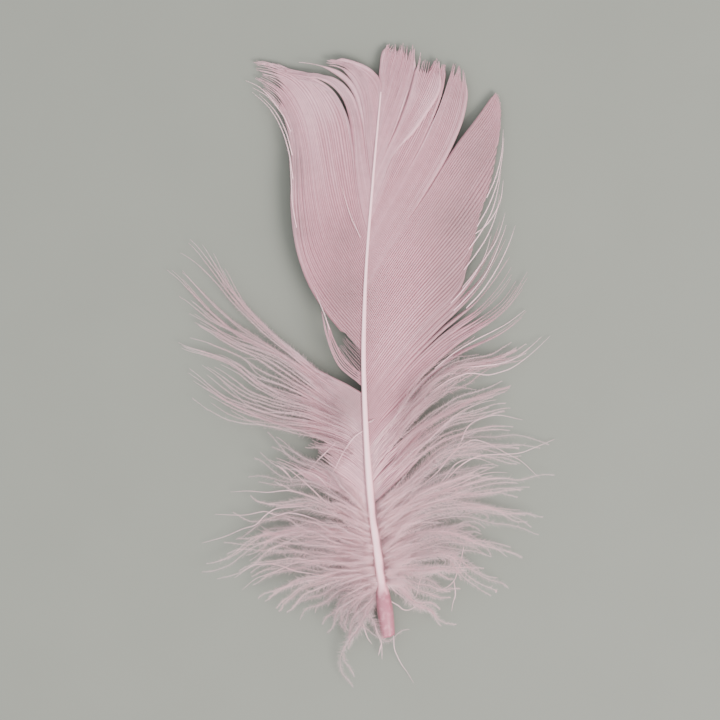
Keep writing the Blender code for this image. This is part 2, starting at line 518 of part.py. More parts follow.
def make_feather(collection, guides):
    shaft = make_shaft(guides)
    mark_as_guide(shaft)
    add_boolean(shaft, make_side("left_barbs", LEFT_GROUPS, -1.0, guides), "UNION")
    add_boolean(shaft, make_side("right_barbs", RIGHT_GROUPS, 1.0, guides), "UNION")
    add_boolean(shaft, make_table_cutter(guides), "DIFFERENCE")
    add_boolean(shaft, make_bore_cutter(guides), "DIFFERENCE")
    evaluated = shaft.evaluated_get(bpy.context.evaluated_depsgraph_get())
    mesh = bmesh.new()
    mesh.from_mesh(bpy.data.meshes.new_from_object(evaluated))
    bmesh.ops.remove_doubles(mesh, verts=mesh.verts, dist=MERGE_DISTANCE)
    bmesh.ops.dissolve_degenerate(mesh, edges=mesh.edges, dist=MERGE_DISTANCE)
    bmesh.ops.triangulate(mesh, faces=mesh.faces, ngon_method="EAR_CLIP")
    shift = centre_on_table(mesh)
    feather = object_from_bmesh(mesh, "feather", collection)
    feather.data.materials.clear()
    feather.data.materials.append(feather_material())
    feather.data.shade_smooth()
    feather.data.set_sharp_from_angle(angle=math.radians(40.0))
    print("feather shift in mm:", [round(value / MM, 4) for value in shift])
    return feather


def main():
    clear_scene()
    guides = make_collection("feather_guides")
    feather_collection = make_collection("feather")
    make_feather(feather_collection, guides)


main()
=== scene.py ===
"""A dyed body feather lying on a pale table: hollow quill, combed vanes, loose barbs and down.

Points are in millimetres in the feather's own plan, seen from above: x to the right, y from the cut end
of the quill to the tip, measured from the middle of the cut end. A barb is a list that starts with the
height along the shaft where it grows, followed by the points that it runs through to its tip.
"""

import math

import bpy
import numpy as np
from bpy.props import FloatProperty, FloatVectorProperty, PointerProperty
from bpy.types import Operator, Panel, PropertyGroup
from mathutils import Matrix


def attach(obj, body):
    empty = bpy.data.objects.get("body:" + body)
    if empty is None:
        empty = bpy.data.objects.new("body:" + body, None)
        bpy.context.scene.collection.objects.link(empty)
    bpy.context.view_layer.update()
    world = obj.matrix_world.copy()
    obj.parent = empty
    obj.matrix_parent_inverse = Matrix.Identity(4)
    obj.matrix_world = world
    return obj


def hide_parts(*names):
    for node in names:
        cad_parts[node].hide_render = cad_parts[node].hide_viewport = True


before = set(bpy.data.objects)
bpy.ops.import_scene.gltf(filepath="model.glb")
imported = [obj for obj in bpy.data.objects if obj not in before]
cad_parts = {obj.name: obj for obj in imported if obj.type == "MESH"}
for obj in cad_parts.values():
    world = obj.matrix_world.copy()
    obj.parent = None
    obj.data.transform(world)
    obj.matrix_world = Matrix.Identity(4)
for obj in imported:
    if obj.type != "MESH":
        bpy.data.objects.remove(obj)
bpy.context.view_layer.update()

bl_info = {
    "name": "Feather",
    "version": (1, 0, 0),
    "blender": (4, 5, 0),
    "location": "3D View > Sidebar > Feather",
    "description": "Builds a lying body feather barb by barb, with its quill, vanes and down",
    "category": "Object",
}

MM = 0.001
SEED = 20

# The feather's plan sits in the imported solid's box, which is centred on the origin.
PLAN_TO_FRAME = (4.8469, -44.2307)

# The photographed area: its middle in the feather's plan, and how much it takes in.
VIEW_CENTRE = (-4.667, 46.0)
VIEW_WIDTH = 120.0

LOW = 0.23
FALL_LEFT = 18.0
FALL_RIGHT = 16.0
ROOT_INSET = 0.08

# The shaft from the cut end to its fine tip: x, y and width.
SHAFT = [
    (0.03, 0.0, 2.35), (-0.45, 4.0, 2.70), (-0.72, 6.0, 2.50), (-0.95, 8.0, 2.05), (-1.20, 10.0, 1.75),
    (-2.05, 16.0, 1.47), (-2.60, 20.0, 1.35), (-3.15, 26.0, 1.25), (-3.63, 33.0, 1.00),
    (-4.00, 42.0, 0.85), (-4.05, 50.0, 0.80), (-3.60, 62.0, 0.55), (-2.50, 76.0, 0.45),
    (-1.80, 84.0, 0.36), (-1.20, 90.5, 0.25),
]

# How high the shaft's middle is above the table at each y: low at the quill, arched along the vane,
# and down again at the tip.
ARCH = [
    (-11.0, 0.25), (-3.0, 0.60), (0.0, 1.08), (4.0, 1.27), (8.0, 1.20), (13.0, 1.35), (20.0, 1.90),
    (30.0, 2.90), (42.0, 4.00), (54.0, 4.80), (66.0, 5.10), (76.0, 4.80), (84.0, 3.90), (90.5, 2.60),
    (95.0, 1.30), (99.5, 0.30),
]

LEFT_DOWN = [
    [7.2, (-2.5, 4.8), (-3.9, 2.2), (-4.2, 0.2), (-5.4, -2.0), (-5.7, -4.4), (-4.2, -8.0),
     (-2.3, -10.8)],
    [7.8, (-3.2, 5.6), (-4.8, 2.6), (-6.3, 0.2), (-7.4, -1.7)],
    [8.4, (-4.2, 7.2), (-6.6, 6.2), (-8.2, 3.6), (-8.9, 0.6), (-8.3, -1.7), (-7.8, -2.8)],
    [9.0, (-4.6, 8.2), (-7.8, 6.9), (-9.5, 4.5), (-10.3, 2.6), (-11.4, 0.5)],
    [9.8, (-5.0, 9.3), (-9.0, 8.3), (-12.0, 6.8), (-14.4, 5.3), (-17.0, 3.1), (-18.8, 1.2)],
    [10.8, (-6.0, 10.5), (-10.0, 10.3), (-14.9, 10.1), (-18.6, 9.1), (-21.0, 7.7), (-23.0, 6.3)],
    [11.8, (-6.0, 11.8), (-10.0, 11.7), (-15.0, 11.3), (-18.5, 10.5), (-21.5, 9.3), (-24.7, 7.5)],
    [12.8, (-6.0, 13.1), (-10.0, 13.0), (-15.0, 12.5), (-20.0, 12.0), (-23.0, 11.0), (-25.8, 9.6)],
    [13.8, (-6.0, 14.4), (-11.0, 14.8), (-16.0, 15.4), (-20.5, 15.9), (-24.0, 15.9)],
    [14.8, (-6.0, 15.8), (-11.0, 16.7), (-15.0, 17.2), (-18.6, 17.5), (-21.8, 17.6)],
    [15.8, (-6.0, 17.1), (-10.0, 18.3), (-15.0, 19.4), (-20.2, 19.4), (-24.1, 17.8), (-27.5, 16.3),
     (-32.4, 15.3)],
    [16.8, (-6.0, 18.6), (-10.0, 19.9), (-15.0, 20.7), (-20.3, 20.8), (-24.5, 20.0), (-28.8, 20.2)],
    [17.8, (-6.0, 20.0), (-9.5, 21.3), (-13.0, 22.1), (-16.5, 22.2), (-20.2, 22.3), (-23.8, 23.2)],
    [18.8, (-6.0, 21.4), (-9.5, 22.9), (-12.5, 23.8), (-16.2, 24.2), (-20.3, 24.2), (-25.8, 24.2)],
    [19.6, (-5.6, 22.3), (-8.5, 24.0), (-11.0, 25.3), (-13.5, 26.3), (-16.6, 27.2), (-20.5, 28.0)],
]

LEFT_WEB = [
    [20.4, (-5.5, 22.9), (-8.5, 24.7), (-11.7, 25.8), (-14.0, 26.9), (-16.8, 28.3), (-19.9, 29.4)],
    [22.2, (-5.7, 24.9), (-8.5, 26.9), (-10.6, 28.1), (-12.6, 29.1), (-14.4, 30.3)],
    [24.2, (-5.8, 26.9), (-8.5, 28.8), (-10.2, 29.9), (-11.6, 30.8), (-12.8, 31.7)],
    [26.2, (-6.0, 28.9), (-8.4, 30.6), (-10.2, 31.7), (-11.8, 32.6)],
    [27.5, (-6.1, 30.3), (-8.8, 31.8), (-11.4, 32.7), (-14.4, 33.3)],
]

LEFT_TUFT = [
    [28.2, (-6.2, 31.0), (-9.0, 32.5), (-12.0, 33.4), (-15.5, 33.9), (-20.4, 34.4)],
    [29.6, (-6.4, 32.4), (-9.5, 33.8), (-13.0, 34.6), (-18.0, 35.3), (-22.5, 36.7), (-28.0, 38.4),
     (-33.0, 40.6), (-39.6, 44.3)],
    [31.0, (-6.5, 33.8), (-10.0, 35.3), (-14.0, 36.9), (-19.0, 37.8), (-23.6, 39.4), (-27.0, 41.6),
     (-33.8, 46.0)],
    [32.4, (-6.6, 35.1), (-10.0, 36.7), (-14.0, 38.6), (-18.5, 40.0), (-22.0, 41.8), (-25.0, 44.6),
     (-29.0, 46.2), (-34.5, 46.9)],
    [33.6, (-6.6, 36.2), (-10.0, 38.0), (-14.0, 40.2), (-18.0, 42.0), (-22.0, 43.4), (-25.5, 45.9),
     (-30.0, 47.6), (-34.0, 48.8), (-37.5, 50.5)],
    [34.7, (-6.7, 37.1), (-10.0, 39.1), (-14.0, 42.0), (-17.5, 44.4), (-21.0, 46.2), (-27.0, 48.4),
     (-31.3, 50.3)],
    [35.6, (-6.8, 38.0), (-10.0, 40.1), (-14.0, 43.3), (-18.0, 46.3), (-22.0, 48.0), (-29.0, 51.3),
     (-34.7, 54.6)],
    [36.5, (-6.8, 38.8), (-10.0, 41.0), (-16.0, 45.5), (-20.0, 47.8), (-24.0, 49.9), (-28.0, 52.5),
     (-32.0, 55.6), (-37.8, 61.2)],
    [37.3, (-6.9, 39.5), (-11.0, 42.3), (-16.0, 46.1), (-20.0, 48.7), (-24.0, 51.2), (-28.0, 54.6),
     (-32.0, 58.8), (-36.0, 63.5)],
    [38.2, (-7.0, 40.3), (-11.0, 42.9), (-16.0, 46.8), (-20.0, 49.7), (-23.0, 52.5), (-26.0, 55.6),
     (-30.0, 60.3), (-34.0, 64.2), (-38.2, 66.0)],
    [39.1, (-7.0, 41.0), (-11.0, 43.5), (-16.0, 47.4), (-20.0, 50.8), (-23.0, 54.0), (-26.0, 57.6),
     (-29.0, 62.4), (-31.8, 67.2)],
    [40.0, (-7.0, 41.7), (-10.0, 43.2), (-13.0, 45.0), (-16.4, 48.1), (-20.0, 51.8), (-23.0, 55.4),
     (-26.0, 59.9), (-29.4, 65.4)],
]

LEFT_STRANDS = [
    [41.8, (-6.3, 43.3), (-8.2, 45.0), (-9.7, 47.7), (-10.5, 50.3), (-11.0, 52.6), (-11.5, 54.6)],
    [43.4, (-6.2, 45.1), (-7.8, 47.0), (-8.9, 49.3), (-9.6, 51.4), (-10.3, 53.1)],
]

# The closed vane left of the shaft, as lobes from the outer edge inwards.
LEFT_VANE_OUTER = [
    [47.4, (-6.0, 49.4), (-8.4, 52.0), (-11.0, 55.4), (-13.3, 59.6), (-15.0, 65.0), (-15.8, 71.5),
     (-15.7, 78.0), (-16.2, 83.5), (-18.2, 88.2), (-21.5, 91.6)],
    [50.4, (-6.0, 52.8), (-8.5, 55.8), (-11.4, 60.0), (-13.5, 65.0), (-14.5, 72.0), (-14.9, 79.0),
     (-15.7, 84.6), (-18.0, 89.6), (-21.8, 92.5)],
    [54.0, (-6.0, 56.6), (-8.9, 60.6), (-11.4, 66.0), (-12.9, 73.0), (-13.8, 81.0), (-15.4, 87.0),
     (-18.2, 91.2), (-22.4, 93.4)],
    [58.0, (-5.8, 60.8), (-8.5, 65.6), (-10.5, 71.6), (-11.8, 79.0), (-13.2, 86.0), (-15.6, 90.8),
     (-18.6, 93.2), (-22.3, 94.1)],
    [62.0, (-5.3, 65.4), (-7.4, 71.2), (-8.9, 78.0), (-10.2, 84.8), (-12.4, 89.8), (-15.2, 92.7),
     (-18.5, 93.9), (-22.3, 94.8)],
    [66.2, (-4.6, 70.6), (-5.5, 76.0), (-6.1, 81.5), (-7.1, 86.6), (-9.3, 90.3), (-12.3, 92.2),
     (-15.6, 93.1), (-19.0, 94.6)],
]
LEFT_VANE_BACK = [
    [67.0, (-4.4, 71.4), (-5.2, 76.4), (-5.5, 81.6), (-6.0, 86.2), (-7.2, 89.8), (-9.4, 92.2),
     (-12.2, 93.2), (-15.2, 93.6), (-18.8, 95.1)],
    [70.6, (-3.9, 75.4), (-4.6, 80.2), (-5.1, 85.2), (-6.0, 89.0), (-8.0, 92.2), (-12.0, 93.8),
     (-16.0, 94.0), (-20.0, 95.7), (-23.5, 96.2)],
    [74.0, (-3.5, 78.4), (-4.1, 83.2), (-4.8, 86.8), (-5.7, 89.8), (-7.4, 92.2), (-10.2, 93.8),
     (-14.0, 94.4), (-16.0, 94.2)],
]
LEFT_VANE_INNER = [
    [74.8, (-3.2, 79.2), (-3.7, 84.0), (-4.0, 87.4), (-4.7, 90.6), (-6.1, 93.2), (-8.0, 94.7), (-10.5, 95.2)],
    [80.6, (-2.8, 84.6), (-3.1, 88.2), (-3.8, 91.8), (-5.6, 94.2), (-8.0, 95.3), (-10.4, 95.5)],
    [90.0, (-1.45, 91.6), (-2.2, 93.2), (-4.0, 94.6), (-7.0, 95.6), (-10.3, 95.9)],
]

RIGHT_DOWN = [
    [8.8, (1.9, 8.3), (4.4, 6.4), (7.6, 4.9), (9.8, 3.7), (13.0, 3.9)],
    [10.0, (3.0, 10.6), (6.0, 10.4), (9.0, 9.9), (11.8, 8.9), (13.9, 7.8), (16.1, 6.6)],
    [11.2, (3.0, 12.3), (6.0, 12.7), (9.0, 12.7), (12.0, 12.0), (14.0, 10.8), (15.8, 9.0)],
    [12.4, (3.0, 14.1), (6.0, 15.0), (9.8, 15.9), (12.6, 15.5), (17.2, 12.8), (20.8, 11.5),
     (23.4, 9.5)],
    [13.5, (2.5, 15.8), (5.8, 17.1), (9.0, 18.0), (12.2, 18.9), (15.6, 19.2), (18.2, 17.6)],
    [14.6, (2.5, 17.3), (6.0, 19.0), (10.0, 20.1), (14.0, 20.3), (17.6, 19.4), (21.4, 18.2),
     (28.0, 17.5)],
    [15.7, (2.5, 18.9), (6.0, 20.7), (10.0, 21.6), (14.6, 21.7), (20.4, 21.1), (24.6, 20.2),
     (26.3, 18.5)],
    [16.8, (2.2, 20.2), (6.0, 22.0), (10.0, 22.8), (14.0, 23.0), (18.0, 22.5), (23.5, 21.8)],
    [17.9, (2.0, 21.3), (6.0, 23.4), (10.0, 24.5), (14.0, 25.5), (17.6, 25.6), (20.8, 24.2)],
    [18.9, (2.0, 22.3), (5.4, 24.4), (9.0, 25.8), (13.0, 27.0), (16.5, 27.6), (20.0, 27.6)],
    [19.8, (1.8, 23.1), (5.0, 25.4), (8.0, 27.4), (11.0, 29.0), (14.0, 29.5), (17.5, 28.8)],
    [20.7, (1.7, 23.8), (4.6, 26.0), (8.0, 28.9), (11.0, 30.6), (14.0, 31.1), (17.5, 30.7),
     (21.4, 29.6), (25.2, 26.4)],
    [21.5, (1.5, 24.4), (4.0, 26.4), (6.4, 28.6), (9.0, 31.0), (12.0, 32.3), (15.0, 32.5), (20.0, 30.9),
     (24.2, 31.4), (28.2, 32.8)],
]

# Three plumes right of the shaft, from the lowest up, with an open gap below each.
RIGHT_PLUME_LOW = [
    [22.4, (-0.6, 24.4), (1.5, 26.3), (4.0, 28.9), (6.6, 31.3), (9.6, 32.8), (13.0, 33.9), (17.0, 34.6),
     (21.5, 35.1)],
    [23.3, (-0.8, 25.5), (1.5, 27.7), (4.2, 30.3), (7.2, 32.6), (10.5, 34.7), (14.0, 36.0),
     (18.0, 36.9), (22.7, 36.0)],
    [24.1, (-0.9, 26.3), (1.4, 28.6), (4.2, 31.4), (7.4, 34.0), (10.5, 36.2), (14.0, 38.0),
     (17.0, 38.7), (19.5, 38.2)],
    [24.7, (-0.9, 26.9), (1.4, 29.3), (4.2, 32.2), (8.0, 35.6), (12.0, 38.2), (16.0, 39.8),
     (20.0, 40.6), (23.6, 40.4)],
]
RIGHT_PLUME_MIDDLE = [
    [25.7, (-1.4, 28.1), (0.8, 30.7), (3.0, 33.3), (5.6, 35.7), (8.4, 37.7), (12.0, 39.6), (15.5, 41.2),
     (19.0, 42.5), (23.0, 43.4)],
    [27.4, (-1.4, 30.1), (0.8, 32.6), (3.4, 35.5), (6.2, 38.1), (9.2, 40.1), (12.5, 42.1),
     (15.5, 43.8), (18.5, 45.0), (22.4, 46.0)],
]
RIGHT_PLUME_BOW = [
    [28.4, (-1.4, 31.2), (0.8, 33.9), (3.4, 37.3), (6.4, 41.2), (9.0, 43.5), (12.0, 44.5), (15.5, 45.1),
     (18.5, 45.8), (21.5, 46.8), (25.4, 48.8)],
    [30.5, (-1.4, 33.3), (0.8, 35.9), (3.6, 39.4), (6.6, 42.9), (9.2, 45.1), (12.2, 46.1), (15.5, 46.9),
     (18.6, 47.9), (22.0, 49.3)],
]
RIGHT_PLUME_HIGH = [
    [31.9, (-1.3, 34.9), (1.2, 37.6), (4.3, 41.0), (7.6, 44.3), (11.0, 47.1), (14.3, 48.9),
     (17.5, 50.5), (20.2, 52.3), (22.8, 54.6)],
    [33.2, (-1.3, 36.4), (1.2, 39.2), (4.3, 42.6), (7.6, 45.9), (11.0, 48.7), (14.5, 50.8),
     (17.8, 52.6), (20.6, 55.0), (23.0, 58.6), (24.8, 61.5)],
    [34.4, (-1.3, 37.8), (1.2, 40.7), (4.3, 44.3), (7.8, 47.7), (11.2, 50.3), (14.6, 52.3),
     (17.6, 54.1), (20.0, 56.4), (22.4, 60.4)],
    [35.5, (-1.3, 39.1), (1.2, 42.1), (4.3, 45.8), (8.0, 49.4), (11.5, 52.1), (14.8, 54.4),
     (17.4, 57.0), (19.8, 60.4), (22.0, 64.4)],
    [36.3, (-1.3, 40.0), (1.2, 43.1), (4.4, 46.8), (8.0, 50.4), (10.8, 52.9), (13.6, 55.3),
     (16.2, 58.1), (18.6, 61.7), (21.0, 66.0)],
    [37.2, (-1.3, 41.0), (1.2, 44.1), (4.5, 47.9), (8.0, 51.5), (10.9, 54.2), (13.4, 56.8),
     (15.9, 60.1), (18.0, 64.2), (19.7, 68.6)],
    [38.4, (-1.3, 42.3), (1.2, 45.4), (4.5, 49.3), (8.0, 52.9), (11.0, 55.7), (13.8, 59.1),
     (16.2, 62.7), (18.0, 66.6), (19.4, 70.8)],
]

# The closed vane right of the shaft, as lobes from the outer edge inwards.
RIGHT_VANE_OUTER = [
    [39.4, (-1.2, 43.4), (1.2, 46.5), (4.5, 50.4), (8.0, 54.0), (10.0, 55.9), (11.7, 58.0), (12.9, 60.4)],
    [42.0, (-1.1, 46.3), (1.4, 49.6), (4.6, 53.5), (8.0, 57.1), (11.0, 60.2), (13.0, 62.6), (14.3, 65.0)],
    [45.0, (-1.1, 49.5), (1.4, 52.9), (4.6, 56.9), (8.0, 60.8), (11.2, 64.5), (13.9, 67.9), (15.7, 71.1)],
    [46.8, (-1.2, 51.3), (1.4, 54.9), (4.6, 59.1), (8.0, 63.2), (11.2, 67.0), (13.8, 70.4),
     (16.0, 73.6), (17.5, 77.0)],
    [48.8, (-1.2, 53.3), (1.4, 57.1), (4.6, 61.5), (8.0, 65.9), (11.2, 70.2), (14.4, 75.0),
     (17.3, 79.8), (18.6, 83.4)],
    [51.5, (-1.3, 56.0), (1.3, 59.9), (4.5, 64.5), (7.8, 69.0), (10.8, 73.2), (13.9, 77.8),
     (17.6, 83.6), (18.9, 87.4)],
    [54.5, (-1.3, 59.0), (1.3, 63.0), (4.4, 67.6), (7.5, 72.1), (10.2, 76.2), (13.5, 81.0),
     (17.4, 86.4), (18.6, 89.8)],
    [57.4, (-1.2, 61.9), (1.4, 66.0), (4.2, 70.0), (6.9, 74.0), (9.1, 77.6), (12.0, 82.0), (15.4, 86.6),
     (18.0, 90.7)],
]
RIGHT_VANE_THIRD = [
    [58.2, (-1.2, 62.6), (1.4, 66.6), (4.0, 70.7), (6.4, 74.7), (8.5, 78.3), (10.4, 81.9), (12.1, 86.2),
     (12.9, 90.6), (12.6, 94.4)],
    [61.8, (-1.0, 66.6), (1.6, 71.0), (4.2, 75.4), (6.5, 79.5), (8.4, 83.5), (10.0, 87.8), (11.2, 91.8),
     (11.9, 95.4)],
    [65.0, (-1.0, 69.4), (1.3, 73.6), (3.6, 77.7), (5.7, 81.5), (7.5, 85.3), (9.0, 89.0), (10.1, 92.4),
     (10.9, 95.6)],
]
RIGHT_VANE_SECOND = [
    [66.0, (-1.0, 70.2), (1.2, 74.3), (3.4, 78.3), (5.3, 81.9), (6.9, 85.5), (8.2, 89.0), (9.1, 92.2),
     (9.7, 95.7)],
    [70.8, (-1.2, 74.9), (0.6, 79.4), (2.6, 83.6), (4.5, 87.6), (6.1, 91.6), (7.2, 94.6), (7.8, 97.0)],
    [75.0, (-1.3, 78.0), (0.4, 81.6), (2.1, 85.4), (3.5, 89.0), (4.4, 92.2), (5.1, 95.2), (5.5, 97.8)],
]
RIGHT_VANE_TOP = [
    [76.2, (-1.3, 79.2), (0.3, 83.0), (1.8, 86.8), (3.0, 90.2), (3.9, 93.2), (4.3, 96.0), (4.2, 98.9)],
    [84.0, (-0.9, 87.6), (0.2, 91.2), (1.2, 94.6), (1.9, 97.0), (2.2, 98.9)],
    [90.0, (-1.15, 92.0), (-1.05, 94.4), (-0.7, 96.8), (0.2, 99.3)],
]


# The barbs of the right vane's pink lobe are bent over to the right, on top of their neighbours.
RIGHT_VANE_UNDER = [
    [66.0, (-1.0, 70.2), (1.2, 74.3), (3.4, 78.3), (5.3, 81.9), (6.9, 85.5), (8.2, 89.0), (9.1, 92.2),
     (9.7, 95.4)],
    [70.4, (-1.2, 74.5), (0.6, 79.0), (2.6, 83.2), (4.5, 87.2), (6.1, 91.2), (7.2, 94.0), (7.8, 96.2)],
]
RIGHT_VANE_OVER = [
    [70.8, (-1.2, 74.9), (0.4, 79.2), (2.1, 81.7), (4.1, 84.2), (6.1, 87.1), (8.0, 90.1), (8.9, 93.0),
     (9.3, 96.0)],
    [72.9, (-1.2, 76.6), (0.5, 80.5), (2.2, 83.7), (4.1, 87.2), (5.8, 90.8), (6.9, 93.8), (7.5, 97.1)],
    [75.0, (-1.3, 78.0), (0.4, 81.6), (2.1, 85.4), (3.5, 89.0), (4.4, 92.2), (5.1, 95.2), (5.5, 97.9)],
]

# Short fine barbs that cross the open place between the strands and the left vane.
LEFT_BRIDGE = [
    [42.4, (-5.2, 43.6), (-6.6, 45.2), (-8.6, 47.8)],
    [46.9, (-5.0, 48.0), (-6.0, 49.1), (-7.2, 50.6)],
]

# Single loose barbs and hairs, from their roots to their tips.
LOOSE_BARBS = [
    [(10.9, 54.2), (13.0, 56.3), (15.0, 58.6), (16.5, 60.8), (17.8, 63.5), (18.8, 66.0), (19.7, 68.5)],
    [(12.3, 58.0), (14.0, 60.0), (16.0, 62.7), (17.8, 65.5), (18.8, 68.0), (19.5, 70.5)],
    [(14.5, 67.0), (16.2, 68.3), (17.8, 70.5), (18.8, 73.0), (19.2, 76.0)],
    [(7.8, 44.6), (11.0, 47.2), (14.3, 49.2), (17.5, 50.8), (20.0, 52.2), (22.8, 54.3)],
    [(-3.9, 34.4), (-5.5, 33.3), (-6.7, 31.8), (-7.8, 30.0), (-8.8, 28.0), (-9.3, 27.0), (-9.8, 24.5),
     (-10.0, 22.0)],
    [(-8.6, 32.4), (-10.0, 31.0), (-12.0, 29.0), (-13.2, 27.4), (-13.9, 26.3), (-14.5, 24.6)],
    [(-4.6, 66.3), (-5.3, 67.8), (-6.0, 69.3), (-6.6, 71.0), (-7.2, 73.0), (-7.8, 75.0)],
    [(-18.5, 28.5), (-17.5, 27.8), (-16.3, 26.5), (-16.0, 25.5)],
    [(-9.7, 51.0), (-10.5, 53.4), (-11.3, 55.4), (-12.0, 57.0), (-12.3, 58.2)],
    [(-16.2, 84.0), (-17.6, 86.9), (-20.0, 89.8), (-22.6, 91.4)],
    [(-15.9, 80.0), (-17.0, 84.0), (-18.8, 87.4), (-21.4, 90.2)],
    [(-15.8, 76.0), (-16.5, 80.6), (-17.8, 84.6), (-19.8, 88.0), (-22.6, 90.6)],
    [(-17.4, 86.6), (-19.2, 89.2), (-21.4, 91.4), (-23.8, 92.6)],
    [(-15.2, 68.0), (-15.9, 72.0), (-16.1, 76.0), (-16.5, 80.6), (-17.6, 84.2)],
    [(13.4, 64.4), (15.4, 67.2), (17.2, 70.6), (18.2, 74.0), (18.8, 77.6)],
    [(14.8, 68.2), (16.7, 71.6), (18.2, 75.6), (19.0, 79.8), (19.3, 83.0)],
    [(12.6, 61.0), (14.6, 63.6), (16.6, 66.8), (18.0, 70.4), (18.6, 73.6)],
    [(16.4, 73.0), (17.9, 76.4), (18.9, 80.4), (19.2, 84.4)],
    [(10.4, 55.4), (12.4, 57.6), (14.5, 60.4), (16.2, 63.6), (17.2, 67.0)],
    [(13.0, 54.6), (15.6, 57.4), (18.0, 61.0), (20.0, 65.0), (21.2, 68.4)],
]
# Single barbs that lie across the plumes on the right and the down on the left.
CROSSING_BARBS = [
    [(7.0, 40.6), (10.4, 42.8), (13.6, 43.8), (16.4, 43.5), (18.4, 43.9), (20.4, 44.6), (22.4, 45.9),
     (24.6, 47.7), (27.0, 50.0)],
    [(12.0, 44.7), (15.4, 45.0), (18.6, 45.4), (21.4, 46.4), (23.6, 48.1), (25.6, 49.9)],
    [(4.0, 29.8), (6.0, 31.9), (8.4, 34.3), (10.8, 36.5), (13.0, 37.9), (15.6, 38.9), (18.0, 39.4)],
    [(8.6, 28.2), (10.6, 30.4), (12.0, 32.2), (13.0, 34.5), (14.4, 35.8), (16.6, 36.6), (18.8, 36.8),
     (22.4, 36.0)],
    [(5.0, 22.4), (7.4, 24.2), (9.4, 26.4), (11.0, 28.5), (12.8, 29.4), (15.0, 29.6), (17.6, 28.7)],
    [(4.2, 24.2), (6.4, 25.8), (8.4, 27.6), (10.0, 29.6), (11.8, 31.4), (14.0, 32.7), (16.4, 32.2),
     (18.2, 31.3), (20.2, 30.2), (22.4, 29.0), (25.2, 26.3)],
    [(6.2, 22.6), (9.0, 24.2), (12.0, 25.5), (15.0, 26.8), (17.6, 27.3), (19.8, 27.2)],
    [(9.0, 25.4), (12.0, 28.4), (15.0, 30.0), (18.4, 30.3), (21.8, 30.5), (24.6, 31.5), (27.8, 32.8)],
    [(-8.4, 20.6), (-10.4, 22.4), (-13.0, 24.9), (-15.4, 27.0), (-17.4, 28.4), (-19.8, 29.4)],
    [(-9.6, 21.6), (-13.2, 23.4), (-16.6, 24.3), (-20.0, 24.0), (-23.4, 24.2), (-26.2, 24.0)],
    [(-10.0, 18.6), (-13.8, 20.1), (-16.6, 20.6), (-18.4, 20.2), (-20.6, 20.8), (-24.0, 20.2),
     (-28.8, 20.3)],
    [(-12.6, 21.8), (-15.6, 21.6), (-18.6, 21.3), (-20.6, 20.0), (-22.0, 18.6), (-24.2, 17.9),
     (-27.2, 16.6), (-31.0, 15.5)],
    [(-8.0, 13.1), (-12.0, 12.7), (-15.4, 12.3), (-17.4, 11.4), (-19.8, 10.4), (-22.0, 9.6), (-24.2, 7.8)],
    [(-9.0, 9.8), (-12.4, 10.4), (-15.4, 10.9), (-17.6, 11.7), (-20.0, 12.1), (-22.6, 11.7), (-25.6, 9.7)],
    [(-10.0, 24.8), (-11.6, 26.6), (-13.4, 27.4), (-15.0, 26.9), (-16.3, 25.9)],
    [(-7.6, 15.4), (-11.4, 16.2), (-15.0, 15.4), (-18.6, 16.4), (-21.8, 17.9)],
]
HAIRS = [
    [(-0.5, 6.5), (0.2, 3.0), (0.9, 0.0), (1.1, -2.2), (2.2, -4.6), (3.2, -6.0), (4.2, -7.7)],
    [(-2.2, 2.2), (-1.8, 0.5), (-1.1, -1.2), (-1.0, -3.8)],
    [(-1.1, -1.2), (-1.6, -3.2)],
    [(-4.2, 2.3), (-3.5, 0.0), (-2.7, -1.3)],
    [(-0.2, 6.2), (1.6, 5.2), (2.5, 4.5), (3.5, 4.4), (4.4, 4.9), (5.2, 5.6)],
    [(0.4, 8.4), (1.2, 7.5), (2.0, 6.9), (3.0, 6.0)],
    [(5.6, 10.0), (5.1, 8.5), (4.8, 7.0), (4.4, 6.3)],
    [(12.6, 14.8), (12.1, 12.5), (11.5, 10.5), (11.0, 9.3), (10.0, 8.3), (8.0, 7.4), (6.2, 6.6)],
    [(11.0, 9.1), (11.2, 7.0), (10.8, 5.5), (10.6, 4.2)],
    [(9.0, 16.3), (9.5, 17.2), (11.0, 18.2), (13.0, 19.3)],
    [(-3.4, 35.6), (-2.9, 35.8), (-2.2, 36.2)],
]

# How a group of barbs is combed. Lengths are in mm and shares run from the shaft to the tip.
# spacing: between roots along the shaft. unzipped: how many barbs have come off the next one's web. joined: share of their length over which the group's outer barbs
# stay with the group below and above. web: widest half web; it is closed up to "closed" and has parted
# into hairs of half width "hair" at "parted". ramus: the stem's radius at root and tip. clump, clump_from
# and pull: how many barbs draw together towards their tips, from where and how far. waver, curl and splay:
# slow wander, quick curls and fanning of whole clumps. stray: a barb's own share in that. trim: how
# unevenly they end. keep: share of their length
# that they have. lift and lift_spread: rise over the feather's own height. fuzz, fuzz_step, fuzz_from and
# fuzz_to: the length, distance, first and last place of loose barbules. tint: paler above 0, deeper below;
# root_tint and rim: what is added to it near the shaft, and at the group's lower and upper edge. every: of the stations, how many a sweep uses.
# rim is a painted highlight on the bent-over edges of the lobes.
CLOSED_VANE = {
    "spacing": 0.50, "joined": (0.3, 0.3), "web": 0.42, "closed": 0.95, "parted": 1.0, "hair": 0.05,
    "unzipped": 0.0, "ramus": (0.062, 0.03), "clump": 4, "clump_from": 0.90, "pull": 0.5, "waver": 0.06, "curl": 0.0,
    "splay": 0.0, "stray": 0.35, "trim": 0.5, "keep": (1.0, 1.0), "lift": 0.0, "lift_spread": 0.02, "fuzz": 0.0,
    "fuzz_step": 0.2, "fuzz_from": 0.5, "fuzz_to": 1.0, "root_tint": 0.0, "tint": 0.0, "rim": (0.0, 0.0), "every": 1,
}
